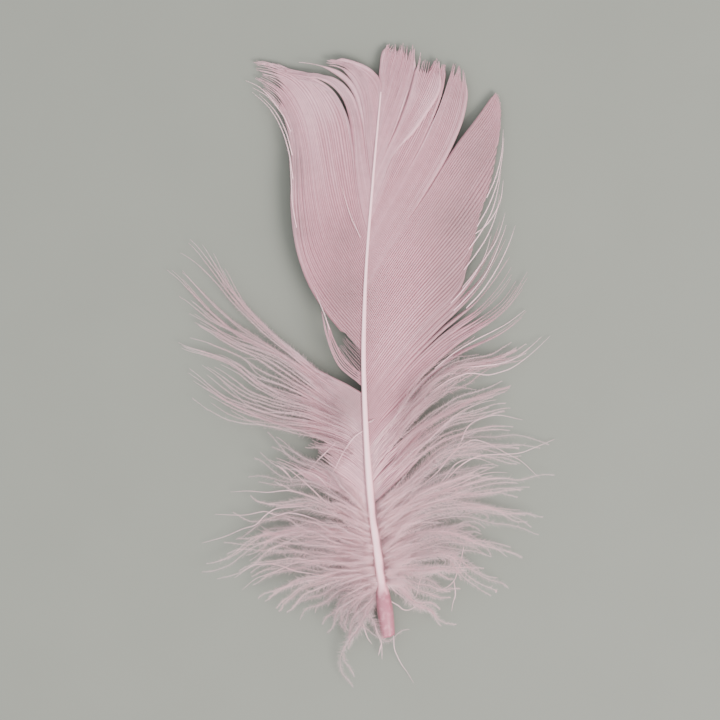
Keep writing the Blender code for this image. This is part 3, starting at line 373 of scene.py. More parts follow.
FRINGED_LOBE = {
    **CLOSED_VANE,
    "spacing": 0.27, "closed": 0.86, "parted": 0.95, "hair": 0.04, "clump": 4, "clump_from": 0.82,
    "pull": 0.8, "trim": 2.2, "waver": 0.12, "unzipped": 0.1,
}
LOOSE_PLUME = {
    **CLOSED_VANE,
    "spacing": 0.30, "joined": (0.12, 0.12), "web": 0.34, "closed": 0.36, "parted": 0.58, "hair": 0.03,
    "ramus": (0.05, 0.018), "clump": 4, "clump_from": 0.35, "pull": 0.3, "waver": 1.0, "curl": 0.12,
    "splay": 1.3, "stray": 0.7, "trim": 5.0, "lift": 0.3, "lift_spread": 1.0, "fuzz": 1.15,
    "fuzz_step": 0.105, "fuzz_from": 0.32, "root_tint": -0.85, "tint": 0.1, "every": 2,
}
SOFT_DOWN = {
    **CLOSED_VANE,
    "spacing": 0.20, "joined": (0.12, 0.12), "web": 0.0, "closed": 0.12, "parted": 0.35, "hair": 0.03,
    "ramus": (0.045, 0.016), "clump": 3, "clump_from": 0.25, "pull": 0.3, "waver": 1.6, "curl": 0.16,
    "splay": 2.45, "stray": 1.0, "trim": 7.0, "lift": 0.8, "lift_spread": 1.4, "fuzz": 1.7,
    "fuzz_step": 0.115, "fuzz_from": 0.02, "tint": 0.1, "every": 2,
}
BASE_FLUFF = {
    **SOFT_DOWN,
    "spacing": 0.11, "clump": 2, "pull": 0.2, "waver": 1.6, "curl": 0.25, "splay": 4.0, "trim": 0.0,
    "keep": (0.10, 0.42), "lift": 1.2, "lift_spread": 1.4, "fuzz": 1.4, "fuzz_step": 0.14,
    "fuzz_from": 0.0, "tint": 0.6, "every": 4,
}


def group(piece, barbs, manner, **changes):
    return {"piece": piece, "barbs": barbs, **manner, **changes}


LEFT_SIDE = [
    group("left_down", LEFT_DOWN, SOFT_DOWN, joined=(0.0, 0.35)),
    group("left_tuft", LEFT_WEB, LOOSE_PLUME, root_tint=-0.7, closed=0.62, parted=0.86, fuzz_from=0.5, trim=3.0,
          curl=0.0, waver=0.4, splay=0.5, fuzz=0.8, joined=(0.35, 0.5), lift=0.1, lift_spread=0.5, spacing=0.26, tint=0.0),
    group("left_tuft", LEFT_TUFT, LOOSE_PLUME, spacing=0.27, joined=(0.5, 0.0), closed=0.22, parted=0.46,
          clump=4, clump_from=0.25, pull=0.45, waver=0.7, curl=0.08, splay=0.9, stray=0.45, trim=8.0,
          fuzz=0.85, fuzz_step=0.105, fuzz_from=0.14, fuzz_to=0.9, lift=0.2, lift_spread=0.7, tint=0.15),
    group("left_vane", LEFT_STRANDS, LOOSE_PLUME, spacing=0.32, joined=(0.0, 0.0), closed=0.0, parted=0.12,
          fuzz=0.0, waver=0.15, curl=0.0, splay=0.15, clump=2, trim=1.0, lift=0.1, lift_spread=0.1,
          hair=0.09, tint=0.4),
    group("left_vane", LEFT_BRIDGE, LOOSE_PLUME, spacing=0.45, joined=(0.0, 0.0), closed=0.0, parted=0.1,
          fuzz=0.0, waver=0.1, curl=0.0, splay=0.1, clump=1, trim=0.9, lift=0.0, lift_spread=0.05,
          tint=0.3),
    group("left_vane", LEFT_VANE_OUTER, CLOSED_VANE, joined=(0.0, 0.6), rim=(0.9, 0.8), pull=0.6, trim=2.0,
          closed=0.86, parted=0.94, unzipped=0.14, splay=0.3),
    group("left_vane", LEFT_VANE_BACK, CLOSED_VANE, spacing=0.36, joined=(0.6, 0.55), lift=0.15,
          rim=(0.2, 1.3), trim=2.4, closed=0.76, parted=0.9, pull=0.5, splay=0.35, unzipped=0.1),
    group("left_vane", LEFT_VANE_INNER, CLOSED_VANE, spacing=0.38, joined=(0.55, 0.0), lift=0.25,
          rim=(0.5, 1.2), trim=1.6, closed=0.84, parted=0.94, pull=0.7, unzipped=0.15, splay=0.2),
]
LEFT_FLUFF = group("left_down", LEFT_DOWN[2:], BASE_FLUFF)
TUFT_FLUFF = group("left_tuft", LEFT_TUFT[:6], SOFT_DOWN, spacing=0.45, keep=(0.5, 0.85), clump=2, pull=0.2,
                   waver=1.6, splay=1.8, trim=4.0, lift=0.6, fuzz=1.0, fuzz_step=0.13, fuzz_from=0.25)
RIGHT_SIDE = [
    group("right_down", RIGHT_DOWN, SOFT_DOWN, joined=(0.0, 0.14)),
    group("right_plumes", RIGHT_PLUME_LOW, LOOSE_PLUME, joined=(0.14, 0.15), closed=0.34, parted=0.55),
    group("right_plumes", RIGHT_PLUME_MIDDLE, LOOSE_PLUME, joined=(0.15, 0.22), waver=1.2, curl=0.2),
    group("right_plumes", RIGHT_PLUME_BOW, LOOSE_PLUME, joined=(0.22, 0.28), pull=0.45, waver=0.8, curl=0.2,
          splay=1.0),
    group("right_vane", RIGHT_PLUME_HIGH, LOOSE_PLUME, spacing=0.34, joined=(0.28, 0.8), closed=0.58,
          parted=0.80, clump=3, pull=0.15, fuzz=0.6, trim=5.0, waver=0.25, curl=0.05, lift=0.0,
          lift_spread=0.3, fuzz_to=0.85, fuzz_from=0.5, fuzz_step=0.13, splay=0.45, stray=1.0,
          root_tint=-0.2, tint=0.0),
    group("right_vane", RIGHT_VANE_OUTER, CLOSED_VANE, spacing=0.53, joined=(0.6, 0.56), trim=0.5, pull=0.1,
          closed=0.96, waver=0.03, rim=(0.0, 0.1), unzipped=0.05),
    group("right_vane", RIGHT_VANE_THIRD, CLOSED_VANE, spacing=0.40, joined=(0.56, 0.5), lift=0.08,
          rim=(0.8, 0.5), unzipped=0.15, trim=1.0, closed=0.9, parted=0.97, pull=0.7),
    group("right_vane", RIGHT_VANE_UNDER, CLOSED_VANE, spacing=0.40, joined=(0.5, 0.5)),
    group("right_vane", RIGHT_VANE_OVER, FRINGED_LOBE, joined=(0.12, 0.4), lift=0.4, tint=0.1,
          rim=(1.3, 0.0)),
    group("right_vane", RIGHT_VANE_TOP, FRINGED_LOBE, joined=(0.4, 0.0), lift=0.1, spacing=0.29,
          rim=(0.5, 0.6), tint=-0.1),
]
RIGHT_FLUFF = group("right_down", RIGHT_DOWN, BASE_FLUFF)
PLUME_FLUFF = group("right_plumes", RIGHT_PLUME_LOW + RIGHT_PLUME_MIDDLE + RIGHT_PLUME_BOW, SOFT_DOWN, spacing=0.30,
                    keep=(0.5, 0.9), clump=2, pull=0.2, waver=1.8, splay=2.4, trim=4.0, lift=0.8, fuzz=1.1,
                    fuzz_step=0.13, fuzz_from=0.3)

# Broad places that are deeper (below 0) or paler: x, y, reach and strength. Most are uneven dye. The deeper ones along
# the left vane, x -6 to -9 and y 36 to 67, are painted shade where the vane curves away from the light; the paler ones
# round the top-left lobes, y 88 to 95, are a painted highlight on their bent-over rims.
DYE_SHADE_AND_HIGHLIGHT_PATCHES = [
    (-6.0, 61.0, 5.5, -0.9), (-9.0, 56.0, 4.0, -0.5), (-6.5, 36.0, 5.0, -0.4), (2.0, 62.0, 8.0, -0.2),
    (-12.0, 80.0, 6.0, 0.3), (5.5, 90.0, 4.0, 0.5), (-11.0, 91.5, 4.5, 0.9), (-6.0, 92.5, 3.0, 0.6),
    (12.0, 78.0, 7.0, -0.2), (-2.0, 15.0, 8.0, 0.35), (-7.0, 67.0, 3.5, -0.5), (-6.5, 50.0, 4.0, -0.8),
    (-6.5, 43.0, 3.5, -0.7), (-7.0, 37.0, 4.0, -0.7), (-4.0, 17.0, 5.0, 1.3), (-20.0, 94.5, 4.0, 0.8),
    (-3.0, 23.0, 3.0, 0.8),    (-12.0, 88.0, 4.0, 0.5), (-19.0, 46.0, 7.0, 0.7),
]

# Where the webs look greyer: x, y, reach and strength. On the right and at the left vane's outer edge the webs are
# thin and took little dye; along the left vane, x -6.5 to -7 and y 39 to 66, the grey is painted shade where the vane
# curves away from the light.
THIN_WEB_AND_SHADE_PATCHES = [
    (16.0, 80.0, 6.5, 0.8), (13.0, 69.0, 6.0, 0.9), (11.0, 59.0, 6.0, 0.8), (8.0, 50.0, 5.0, 0.6),
    (4.0, 40.0, 4.0, 0.5), (14.0, 90.0, 5.0, 0.6), (-17.0, 78.0, 3.5, 0.8), (-16.0, 68.0, 3.0, 0.7),
    (5.0, 70.0, 6.0, 0.25), (-7.0, 66.0, 3.5, 0.5), (-7.0, 57.0, 5.0, 0.8), (-6.5, 49.0, 4.0, 0.6),
    (-6.5, 39.0, 4.0, 0.8),
]

# How strongly the painted highlight on the barbs' ridges and the painted shade in the webs between them show: x, y,
# reach and strength over the vane's general one.
RIDGE_HIGHLIGHT_PATCHES = [(3.5, 57.0, 11.0, 0.65), (-7.0, 55.0, 4.0, 0.2), (7.0, 70.0, 9.0, 0.2),
                  (2.0, 36.0, 8.0, 0.35), (-7.0, 34.0, 5.0, 0.45)]
GENERAL_RIDGE_HIGHLIGHT = 0.42

# Painted highlight and shade: how much paler a loose clump is for each mm that it lies above its neighbours, and
# deeper for each mm below.
RAISED_CLUMP_HIGHLIGHT = 1.1

STATIONS = 66
THIN = 0.018
WEB_TILT = 0.035
WEB_OVERLAP = 1.05
QUILL_SIDES = 28
QUILL_RINGS = 190
QUILL_HOLLOW = 4.6
QUILL_WALL = 0.36


def hex_colour(text):
    """An sRGB hex colour as linear red, green, blue and alpha."""
    shares = np.array([int(text[i:i + 2], 16) for i in (1, 3, 5)]) / 255.0
    linear = np.where(shares <= 0.04045, shares / 12.92, ((shares + 0.055) / 1.055) ** 2.4)
    return (*linear.tolist(), 1.0)


def colour_property(name, description, text):
    return FloatVectorProperty(
        name=name, description=description, subtype="COLOR", size=4, min=0.0, max=1.0,
        default=hex_colour(text),
    )


def length_property(name, description, default):
    return FloatProperty(
        name=name, description=description, unit="LENGTH", min=0.0, precision=6, default=default
    )


class FeatherSizes(PropertyGroup):
    barbule_spread: FloatProperty(
        name="Barbule spread",
        description="Angle between a barb and its loose barbules",
        subtype="ANGLE",
        default=math.radians(48.0),
    )
    barbule_width: length_property(
        "Barbule width", "Width of a loose barbule at its root, drawn several times the real one", 0.00005
    )
    barbule_period: length_property(
        "Barbule period", "Distance between the hooked barbules of the vane, drawn as coarse as shows", 0.00014
    )
    hair_width: length_property("Hair width", "Width of a single loose hair at its root", 0.00013)
    loose_barb_width: length_property(
        "Loose barb width", "Width of a single loose barb at its root, with its short web", 0.00015
    )


class FeatherColours(PropertyGroup):
    quill: colour_property("Quill", "Dyed bare end of the quill", "#9C5267")
    shaft: colour_property("Shaft", "Pale keratin of the shaft", "#FFBECC")
    pith: colour_property("Pith", "Whitish pith that shows through the shaft's middle", "#FFDAE2")
    vane: colour_property("Vane", "Barbs of the closed vane", "#A96A79")
    # Deeper dye, and also painted shade: the webs between the barbs' ridges are mixed toward this colour.
    deep_dye_and_web_shade: colour_property("Deep vane", "Webs between barbs, where the dye is deeper", "#8A465A")
    vane_pale: colour_property("Pale vane", "Ridges of the barbs where they catch the light", "#EBB6C2")
    # Grey of thin webs, and also painted shade: on the left vane's turned-away side and along the shaft's edges.
    thin_web_and_shade: colour_property("Thin vane", "Webs so thin that the ground greys them", "#7F6568")
    down: colour_property("Down", "Loose barbs and down", "#EEA6B5")
    down_pale: colour_property("Pale down", "Tips and stems of the down", "#FFD3DC")


class FeatherStage(PropertyGroup):
    floor: colour_property("Floor", "Plain pale floor", "#777973")
    key_power: FloatProperty(name="Key light", description="Power of the broad lamp, in watts", default=9.4)
    fill: FloatProperty(name="Fill", description="Strength of the light from all round", default=2.0)
    camera_height: length_property("Camera height", "Camera's height over the table", 0.9)


def shaft_x(y):
    """The shaft's middle, seen from above, at a height y along it."""
    return np.interp(y, [row[1] for row in SHAFT], [row[0] for row in SHAFT])


def height(x, y):
    """The feather's height over the table: the shaft's arch, sinking to both sides as a bell curve."""
    arch = np.interp(y, [row[0] for row in ARCH], [row[1] for row in ARCH])
    aside = x - shaft_x(y)
    fall = np.where(aside < 0.0, FALL_LEFT, FALL_RIGHT)
    return LOW + (arch - LOW) * np.exp(-((aside / fall) ** 2))


def smooth_step(value, low, high):
    """0 below low, 1 above high and 3t^2 - 2t^3 between them."""
    t = np.clip((value - low) / max(high - low, 1e-9), 0.0, 1.0)
    return t * t * (3.0 - 2.0 * t)


def catmull_rom(before, start, end, after, t):
    """The cubic through start (t = 0) and end (t = 1) whose slopes come from the points around them."""
    bend = (2.0 * before - 5.0 * start + 4.0 * end - after) * t ** 2
    twist = (3.0 * start - before - 3.0 * end + after) * t ** 3
    return 0.5 * (2.0 * start + (end - before) * t + bend + twist)


def smooth_line(points, count):
    """A Catmull-Rom curve through the points, as count + 1 places spaced evenly along its length."""
    knots = np.array(points, dtype=float)
    knots = np.vstack([2.0 * knots[0] - knots[1], knots, 2.0 * knots[-1] - knots[-2]])
    t = np.linspace(0.0, 1.0, 12, endpoint=False)[None, :, None]
    rows = catmull_rom(knots[:-3, None], knots[1:-2, None], knots[2:-1, None], knots[3:, None], t)
    line = np.vstack([rows.reshape(-1, knots.shape[1]), knots[-2][None, :]])
    steps = np.linalg.norm(np.diff(line[:, :2], axis=0), axis=1)
    length = np.concatenate([[0.0], np.cumsum(steps)])
    even = np.linspace(0.0, length[-1], count + 1)
    return np.column_stack([np.interp(even, length, column) for column in line.T])


def between_guides(guides, place):
    """Barbs at fractional places in the list of guide barbs: a Catmull-Rom curve across the guides, station
    by station."""
    last = len(guides) - 1
    start = np.clip(np.floor(place).astype(int), 0, last - 1)
    t = (place - start)[:, None, None]
    around = [guides[np.clip(start + step, 0, last)] for step in (-1, 0, 1, 2)]
    return catmull_rom(*around, t)


def along(lines, share):
    """Places at the given shares of each line's length, straight between its stations."""
    stations = lines.shape[1] - 1
    spot = np.clip(share, 0.0, 1.0) * stations
    low = np.minimum(spot.astype(int), stations - 1)
    part = (spot - low)[..., None]
    rows = np.arange(len(lines))[:, None]
    return lines[rows, low] * (1.0 - part) + lines[rows, low + 1] * part


def arc_length(lines):
    """Length from the root to each station, as the sum of the steps between stations."""
    steps = np.linalg.norm(np.diff(lines, axis=1), axis=2)
    return np.concatenate([np.zeros((len(lines), 1)), np.cumsum(steps, axis=1)], axis=1)


def directions(lines, side):
    """Unit vectors along each barb and across it, towards the feather's tip side."""
    forward = np.gradient(lines[..., :2], axis=1)
    forward /= np.maximum(np.linalg.norm(forward, axis=2), 1e-9)[..., None]
    across = side * np.stack([-forward[..., 1], forward[..., 0]], axis=-1)
    return forward, across


def waves(rng, count, share, clumps, pace):
    """Sideways wander of each barb: two sine waves along it, mostly shared by a clump, each its own a bit."""
    phase = rng.uniform(0.0, 2.0 * math.pi, (clumps.max() + 1, 2))[clumps] + rng.normal(0.0, 0.5, (count, 2))
    turns = pace * rng.uniform(0.7, 1.5, (clumps.max() + 1, 2))[clumps]
    slow = np.sin(2.0 * math.pi * turns[:, :1] * share + phase[:, :1]) - np.sin(phase[:, :1])
    fast = np.sin(5.0 * math.pi * turns[:, 1:] * share + phase[:, 1:]) - np.sin(phase[:, 1:])
    return 0.7 * slow + 0.3 * fast


def combed_barbs(manner, side, number, gap_below=0.0, gap_above=0.0):
    """All barbs of a group. They start as curves between the listed guide barbs, evenly spaced along the shaft. Where
    the group has a gap below or above, more barbs fill it at the shaft and then close up with the group's outer one.
    Towards the tips barbs draw together in clumps, wander, fan out, and end unevenly."""
    rng = np.random.default_rng(SEED + number)
    guides = np.array([
        smooth_line([(float(shaft_x(barb[0])) + side * ROOT_INSET, barb[0])] + barb[1:], STATIONS)
        for barb in manner["barbs"]
    ])
    roots = np.array([barb[0] for barb in manner["barbs"]])
    first, last = roots[0] - gap_below, roots[-1] + gap_above
    count = max(2, round((last - first) / manner["spacing"]) + 1)
    own_roots = np.linspace(first, last, count)
    lines = between_guides(guides, np.interp(own_roots, roots, np.arange(len(roots))))
    share = np.linspace(0.0, 1.0, STATIONS + 1)[None, :]
    beyond = (own_roots - np.clip(own_roots, roots[0], roots[-1]))[:, None]
    joined = np.maximum(np.where(beyond < 0.0, *manner["joined"]), 0.01)
    lines[..., 1] += beyond * (1.0 - smooth_step(share / joined, 0.5, 1.5))
    clumps = np.cumsum(rng.random(count) < 1.0 / manner["clump"])
    centres = np.array([lines[clumps == clump].mean(axis=0) if (clumps == clump).any() else lines[0]
                        for clump in range(clumps.max() + 1)])
    together = (rng.normal(0.0, 1.0, (clumps.max() + 1, 1)) * rng.uniform(0.3, 1.7, (clumps.max() + 1, 1)))[clumps]
    level_of_clump, end_of_clump = rng.uniform(0.0, 1.0, (2, clumps.max() + 1, 1))[:, clumps]
    pull = manner["pull"] * smooth_step(share, manner["clump_from"], 1.0)
    lines = lines + (centres[clumps] - lines) * pull[..., None]
    across = directions(lines, side)[1]
    aside = manner["waver"] * waves(rng, count, share, clumps, 1.0) * share ** 1.4
    aside += manner["curl"] * waves(rng, count, share, clumps, 3.2) * share ** 0.8
    aside += manner["splay"] * (together + manner["stray"] * rng.normal(0.0, 1.0, (count, 1))) * share ** 1.4
    lines = lines + across * aside[..., None]
    length = arc_length(lines)[:, -1:]
    trimmed = manner["trim"] * (0.5 * rng.uniform(0.0, 1.0, (count, 1)) + 0.5 * end_of_clump)
    kept = rng.uniform(*manner["keep"], (count, 1)) - trimmed / np.maximum(length, 2.0 * manner["trim"])
    lines = along(lines, share * kept)
    loose_from = min(manner["closed"], 0.5)
    rise = manner["lift"] * smooth_step(share, 0.6 * loose_from, loose_from + 0.35) * (1.0 - 0.5 * share ** 3)
    own_rise = manner["lift_spread"] * (0.5 * rng.uniform(-0.4, 1.0, (count, 1)) + 0.5 * level_of_clump)
    own_rise = own_rise * smooth_step(share, loose_from, loose_from + 0.5)
    places = np.arange(count)[:, None]
    # The rim is a painted highlight: the barbs at a group's lower and upper edge are made paler where the lobes' rims
    # bend over.
    rim_low, rim_high = manner["rim"]
    rim = rim_low * np.exp(-places / 1.3) + rim_high * np.exp(-(count - 1 - places) / 1.3)
    tint = manner["tint"] + rng.normal(0.0, 0.16, (count, 1)) + rim * smooth_step(share, 0.25, 0.6)
    tint += manner["root_tint"] * (1.0 - smooth_step(share, 0.1, manner["closed"] + 0.2))
    # Painted highlight and shade: a clump that lies higher than its neighbours is made paler, a lower one deeper.
    tint += RAISED_CLUMP_HIGHLIGHT * manner["lift_spread"] * (level_of_clump - 0.5) * smooth_step(share, 0.15, 0.55)
    level = height(lines[..., 0], lines[..., 1]) + rise + own_rise
    return {
        "lines": np.concatenate([lines, np.maximum(level, 0.12)[..., None]], axis=2),
        "roots": own_roots,
        "tint": tint * np.ones(share.shape),
        "limit": web_limit(manner, share) * unzipped(manner, rng, share, count),
        "ramus": np.interp(share, [0.0, 1.0], manner["ramus"]) * np.ones((count, 1)),
        "manner": manner,
        "number": number,
    }


def web_limit(manner, share):
    """The widest half web at each share of a barb: full where the vane is closed, a hair's beyond."""
    parted = smooth_step(share, manner["closed"], manner["parted"])
    wide = manner["web"] * (1.0 - parted) + manner["hair"] * parted
    return wide * (1.0 - 0.6 * share ** 14)


def unzipped(manner, rng, share, count):
    """1 for a barb that is hooked to the next; for one that has come off, about a third from some place on
    its length outwards."""
    off = (rng.random((count, 1)) < manner["unzipped"]) * rng.uniform(0.4, 0.7, (count, 1))
    start = rng.uniform(0.3, 0.75, (count, 1))
    return 1.0 - off * smooth_step((share - start) / 0.15, 0.0, 1.0)


def room_beside(lines, neighbours):
    """Half the clear distance from each station of each barb to the whole of its neighbour, in plan."""
    shares = np.linspace(0.0, 1.0, 4 * STATIONS + 1)[None, :] * np.ones((len(neighbours), 1))
    dense = along(neighbours[..., :2], shares)
    gaps = lines[:, :, None, :2] - dense[:, None, :, :]
    return 0.5 * np.sqrt((gaps ** 2).sum(axis=3)).min(axis=2)


def combed_side(groups, side, first_number):
    """The barbs of one side with their webs. A web reaches a little past the middle between two barbs, so
    that it lies on its neighbour's, as long as that is within the widest web of the place."""
    ends = [(manner["barbs"][0][0], manner["barbs"][-1][0]) for manner in groups]
    gaps = [max(0.0, 0.5 * (after[0] - before[1] - 0.4)) for before, after in zip(ends, ends[1:])]
    combed = [
        combed_barbs(manner, side, first_number + i, *np.where(manner["joined"], (below, above), 0.0))
        for i, (manner, below, above) in enumerate(zip(groups, [0.0] + gaps, gaps + [0.0]))
    ]
    lines = np.concatenate([part["lines"] for part in combed])
    limit = np.concatenate([part["limit"] * np.ones((len(part["lines"]), 1)) for part in combed])
    above = np.minimum(WEB_OVERLAP * room_beside(lines[:-1], lines[1:]), limit[:-1])
    below = np.minimum(WEB_OVERLAP * room_beside(lines[1:], lines[:-1]), limit[1:])
    above = np.concatenate([above, limit[-1:]])
    below = np.concatenate([limit[:1], below])
    start = 0
    for part in combed:
        end = start + len(part["lines"])
        part["above"] = above[start:end]
        part["below"] = below[start:end]
        start = end
    return combed


def swept(part, side):
    """The barbs as closed sweeps of one section: a round ridge over a thin web that tilts towards the next
    barb, and a keel below. Where a group has no web, the section is the stem's alone, a diamond."""
    every = part["manner"]["every"]
    lines, ramus = part["lines"][:, ::every], part["ramus"][:, ::every]
    across = directions(lines, side)[1]
    below = np.maximum(part["below"][:, ::every], 1.05 * ramus)
    above = np.maximum(part["above"][:, ::every], 1.05 * ramus)
    nothing = np.zeros_like(ramus)
    sideways = np.stack(
        [-below, -below, -0.75 * ramus, nothing, 0.75 * ramus, above, above, nothing], axis=-1
    )
    tilt = WEB_TILT * np.minimum(1.0, np.maximum(below, above) / 0.15)
    upwards = np.stack(
        [-THIN - tilt, THIN - tilt, 0.45 * ramus + THIN, 1.15 * ramus, 0.45 * ramus + THIN, tilt + THIN,
         tilt - THIN, -1.1 * ramus], axis=-1,
    )
    # The ridge values paint the stem's top palest, its sides less and its keel and webs deepest: a painted highlight
    # on the ridges and painted shade in the webs.
    ridge = np.array([0.0, 0.0, 0.75, 1.0, 0.75, 0.0, 0.0, 0.4])
    if part["manner"]["web"] == 0.0:
        sideways = np.stack([-ramus, nothing, ramus, nothing], axis=-1)
        upwards = np.stack([nothing, ramus, nothing, -ramus], axis=-1)
        ridge = np.array([0.7, 1.0, 0.7, 0.5])
    rings = np.repeat(lines[:, :, None, :], len(ridge), axis=2)
    rings[..., :2] += across[:, :, None, :] * sideways[..., None]
    rings[..., 2] = np.maximum(rings[..., 2] + upwards, 0.01)
    count, stations, sides = rings.shape[:3]
    corner = np.arange(count * stations * sides).reshape(count, stations, sides)
    beside = np.roll(corner, -1, axis=2)
    quads = np.stack([corner[:, :-1], corner[:, 1:], beside[:, 1:], beside[:, :-1]], axis=-1).reshape(-1, 4)
    caps = np.concatenate([corner[:, 0], corner[:, -1, ::-1]])
    travelled = arc_length(lines)[:, :, None] * np.ones(sides)
    own_place = part["roots"][:, None, None] + sideways
    uv = np.stack([travelled, own_place], axis=-1).reshape(-1, 2)
    tint = part["tint"][:, ::every, None] * np.ones(sides)
    return {
        "points": rings.reshape(-1, 3), "faces": [quads, caps], "uv": uv, "tint": tint.ravel(),
        "ridge": np.broadcast_to(ridge, rings.shape[:3]).ravel(),
    }


def barbules(part, side, sizes):
    """Loose barbules as closed four-faced spikes. Each leaves its barb at a set angle on one side, a step
    on from the one before, and is shorter towards the barb's tip."""
    manner = part["manner"]
    rng = np.random.default_rng(SEED + 100 + part["number"])
    lines = part["lines"]
    length = arc_length(lines)[:, -1]
    places = int(length.mean() * (manner["fuzz_to"] - manner["fuzz_from"]) / manner["fuzz_step"])
    made = []
    for hand in (-1.0, 1.0):
        first = manner["fuzz_from"] + rng.uniform(0.0, 0.15, (len(lines), 1))
        share = first + (manner["fuzz_to"] - first) * np.linspace(0.0, 1.0, places)
        share = share + rng.uniform(-0.5, 0.5, (len(lines), places)) / places
        root = along(lines, share)
        forward, across = (along(rows, share) for rows in directions(lines, side))
        spread = sizes.barbule_spread * rng.normal(1.0, 0.28, share.shape)[..., None]
        reach = manner["fuzz"] * (1.0 - 0.85 * share ** 2) * rng.uniform(0.35, 1.3, share.shape)
        heading = forward * np.cos(spread) + hand * across * np.sin(spread)
        tip = root.copy()
        tip[..., :2] += heading * reach[..., None]
        tip[..., 2] += reach * rng.normal(0.10, 0.30, share.shape)
        tip[..., 2] = np.maximum(tip[..., 2], 0.03)
        half = 0.5 * sizes.barbule_width / MM
        foot = np.repeat(root[:, :, None, :], 3, axis=2)
        foot[:, :, 0, :2] += forward * half
        foot[:, :, 1, :2] -= forward * half
        foot[:, :, 2, 2] += half
        spikes = np.concatenate([foot, tip[:, :, None, :]], axis=2)
        corner = np.arange(spikes.size // 3).reshape(-1, 4)
        faces = np.concatenate([corner[:, [0, 1, 2]], corner[:, [1, 0, 3]], corner[:, [2, 1, 3]],
                                corner[:, [0, 2, 3]]])
        from_root = np.array([0.0, 0.0, 0.0, 1.0])
        travelled = (share * length[:, None])[..., None] + from_root
        place = part["roots"][:, None, None] + 0.3 * hand * from_root
        uv = np.stack([travelled, place * np.ones(travelled.shape)], axis=-1).reshape(-1, 2)
        tint = along(part["tint"][..., None], share)[..., 0]
        # The raised corner of each barbule's foot gets a higher ridge value, a painted highlight on its top; the tip's
        # is higher still, for paler tips.
        made.append({
            "points": spikes.reshape(-1, 3), "faces": [faces], "uv": uv,
            "tint": np.repeat(tint.ravel(), 4), "ridge": np.tile([0.45, 0.45, 0.55, 0.8], share.size),
        })
    return made


def outward(points, faces):
    """The same faces, turned round if the surface that they close has a negative volume."""
    middle = points.mean(axis=0)
    volume = 0.0
    for rows in faces:
        first = points[rows[:, 0]] - middle
        for second in range(1, rows.shape[1] - 1):
            normal = np.cross(points[rows[:, second]] - middle, points[rows[:, second + 1]] - middle)
            volume += (first * normal).sum()
    return faces if volume > 0.0 else [rows[:, ::-1] for rows in faces]


def patches(points, places):
    """Broad changes over the feather: a sum of bell curves around the listed places."""
    total = np.zeros(len(points))
    for x, y, reach, strength in places:
        total += strength * np.exp(-((points[:, 0] - x) ** 2 + (points[:, 1] - y) ** 2) / reach ** 2)
    return total


def make_piece(name, surfaces, slot, material):
    """One object from closed surfaces in plan millimetres, with a UV map that follows the barbs (along and across, in
    mm) and three attributes for its material: tint, which carries dye and also painted highlight and shade; ridge,
    which paints the stems' tops paler and the webs deeper; and thin, which greys thin webs and paints shade on the
    left vane."""
    starts = np.cumsum([0] + [len(surface["points"]) for surface in surfaces])
    points = np.concatenate([surface["points"] for surface in surfaces])
    tint = np.concatenate([surface["tint"] for surface in surfaces]) + patches(points, DYE_SHADE_AND_HIGHLIGHT_PATCHES)
    ridge = np.concatenate([surface["ridge"] for surface in surfaces])
    # The vane's painted ridge highlight and web shade are made stronger or weaker by place.
    if slot == "vane":
        ridge = 0.5 + (ridge - 0.5) * np.clip(GENERAL_RIDGE_HIGHLIGHT + patches(points, RIDGE_HIGHLIGHT_PATCHES), 0.0, 1.0)
    thin = np.clip(patches(points, THIN_WEB_AND_SHADE_PATCHES), 0.0, 1.0)
    uv = np.concatenate([surface["uv"] for surface in surfaces])
    turned = [
        rows + start
        for surface, start in zip(surfaces, starts)
        for rows in outward(surface["points"], surface["faces"])
    ]
    corners = np.concatenate([rows.ravel() for rows in turned])
    sizes = np.concatenate([np.full(len(rows), rows.shape[1]) for rows in turned])
    places = (points + np.array([*PLAN_TO_FRAME, 0.0])) * MM
    mesh = bpy.data.meshes.new(name)
    mesh.vertices.add(len(places))
    mesh.vertices.foreach_set("co", places.astype(np.float32).ravel())
    mesh.loops.add(len(corners))
    mesh.loops.foreach_set("vertex_index", corners.astype(np.int32))
    mesh.polygons.add(len(sizes))
    mesh.polygons.foreach_set("loop_start", np.concatenate([[0], np.cumsum(sizes)[:-1]]).astype(np.int32))
    mesh.update(calc_edges=True)
    mesh.uv_layers.new(name="barb").uv.foreach_set("vector", uv[corners].astype(np.float32).ravel())
    for attribute, values in (("tint", tint), ("ridge", ridge), ("thin", thin)):
        mesh.attributes.new(attribute, "FLOAT", "POINT").data.foreach_set("value", values.astype(np.float32))
    if mesh.validate():
        raise RuntimeError(name + " has a broken face")
    mesh.shade_smooth()
    mesh.materials.append(material)
    piece = bpy.data.objects.new(name, mesh)
    bpy.context.scene.collection.objects.link(piece)
    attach(piece, "root")
    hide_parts("feather")
    print(name, int((sizes - 2).sum()), "triangles")
    return piece


def add_node(tree, kind, inputs=None, **settings):
    """Adds a node with its settings and links, and gives its outputs. An input is a number, a colour or
    another node's output. A Mix node's colours are inputs 6 and 7 and its result is output 2; a Map Range
    node takes the value, the two ends of the range it comes from and the two of the range it goes to."""
    node = tree.nodes.new(kind)
    for name, value in settings.items():
        setattr(node, name, value)
    for socket, value in (inputs or {}).items():
        if isinstance(value, bpy.types.NodeSocket):
            tree.links.new(value, node.inputs[socket])
        else:
            node.inputs[socket].default_value = value
    return node.outputs


def new_material(name, roughness, **constants):
    """A Principled material whose plain numbers stand on the shader's own sockets."""
    material = bpy.data.materials.new(name)
    material.use_nodes = True
    tree = material.node_tree
    shader = tree.nodes["Principled BSDF"]
    shader.inputs["Roughness"].default_value = roughness
    for socket, value in constants.items():
        shader.inputs[socket.replace("_", " ")].default_value = value
    return material, tree, shader


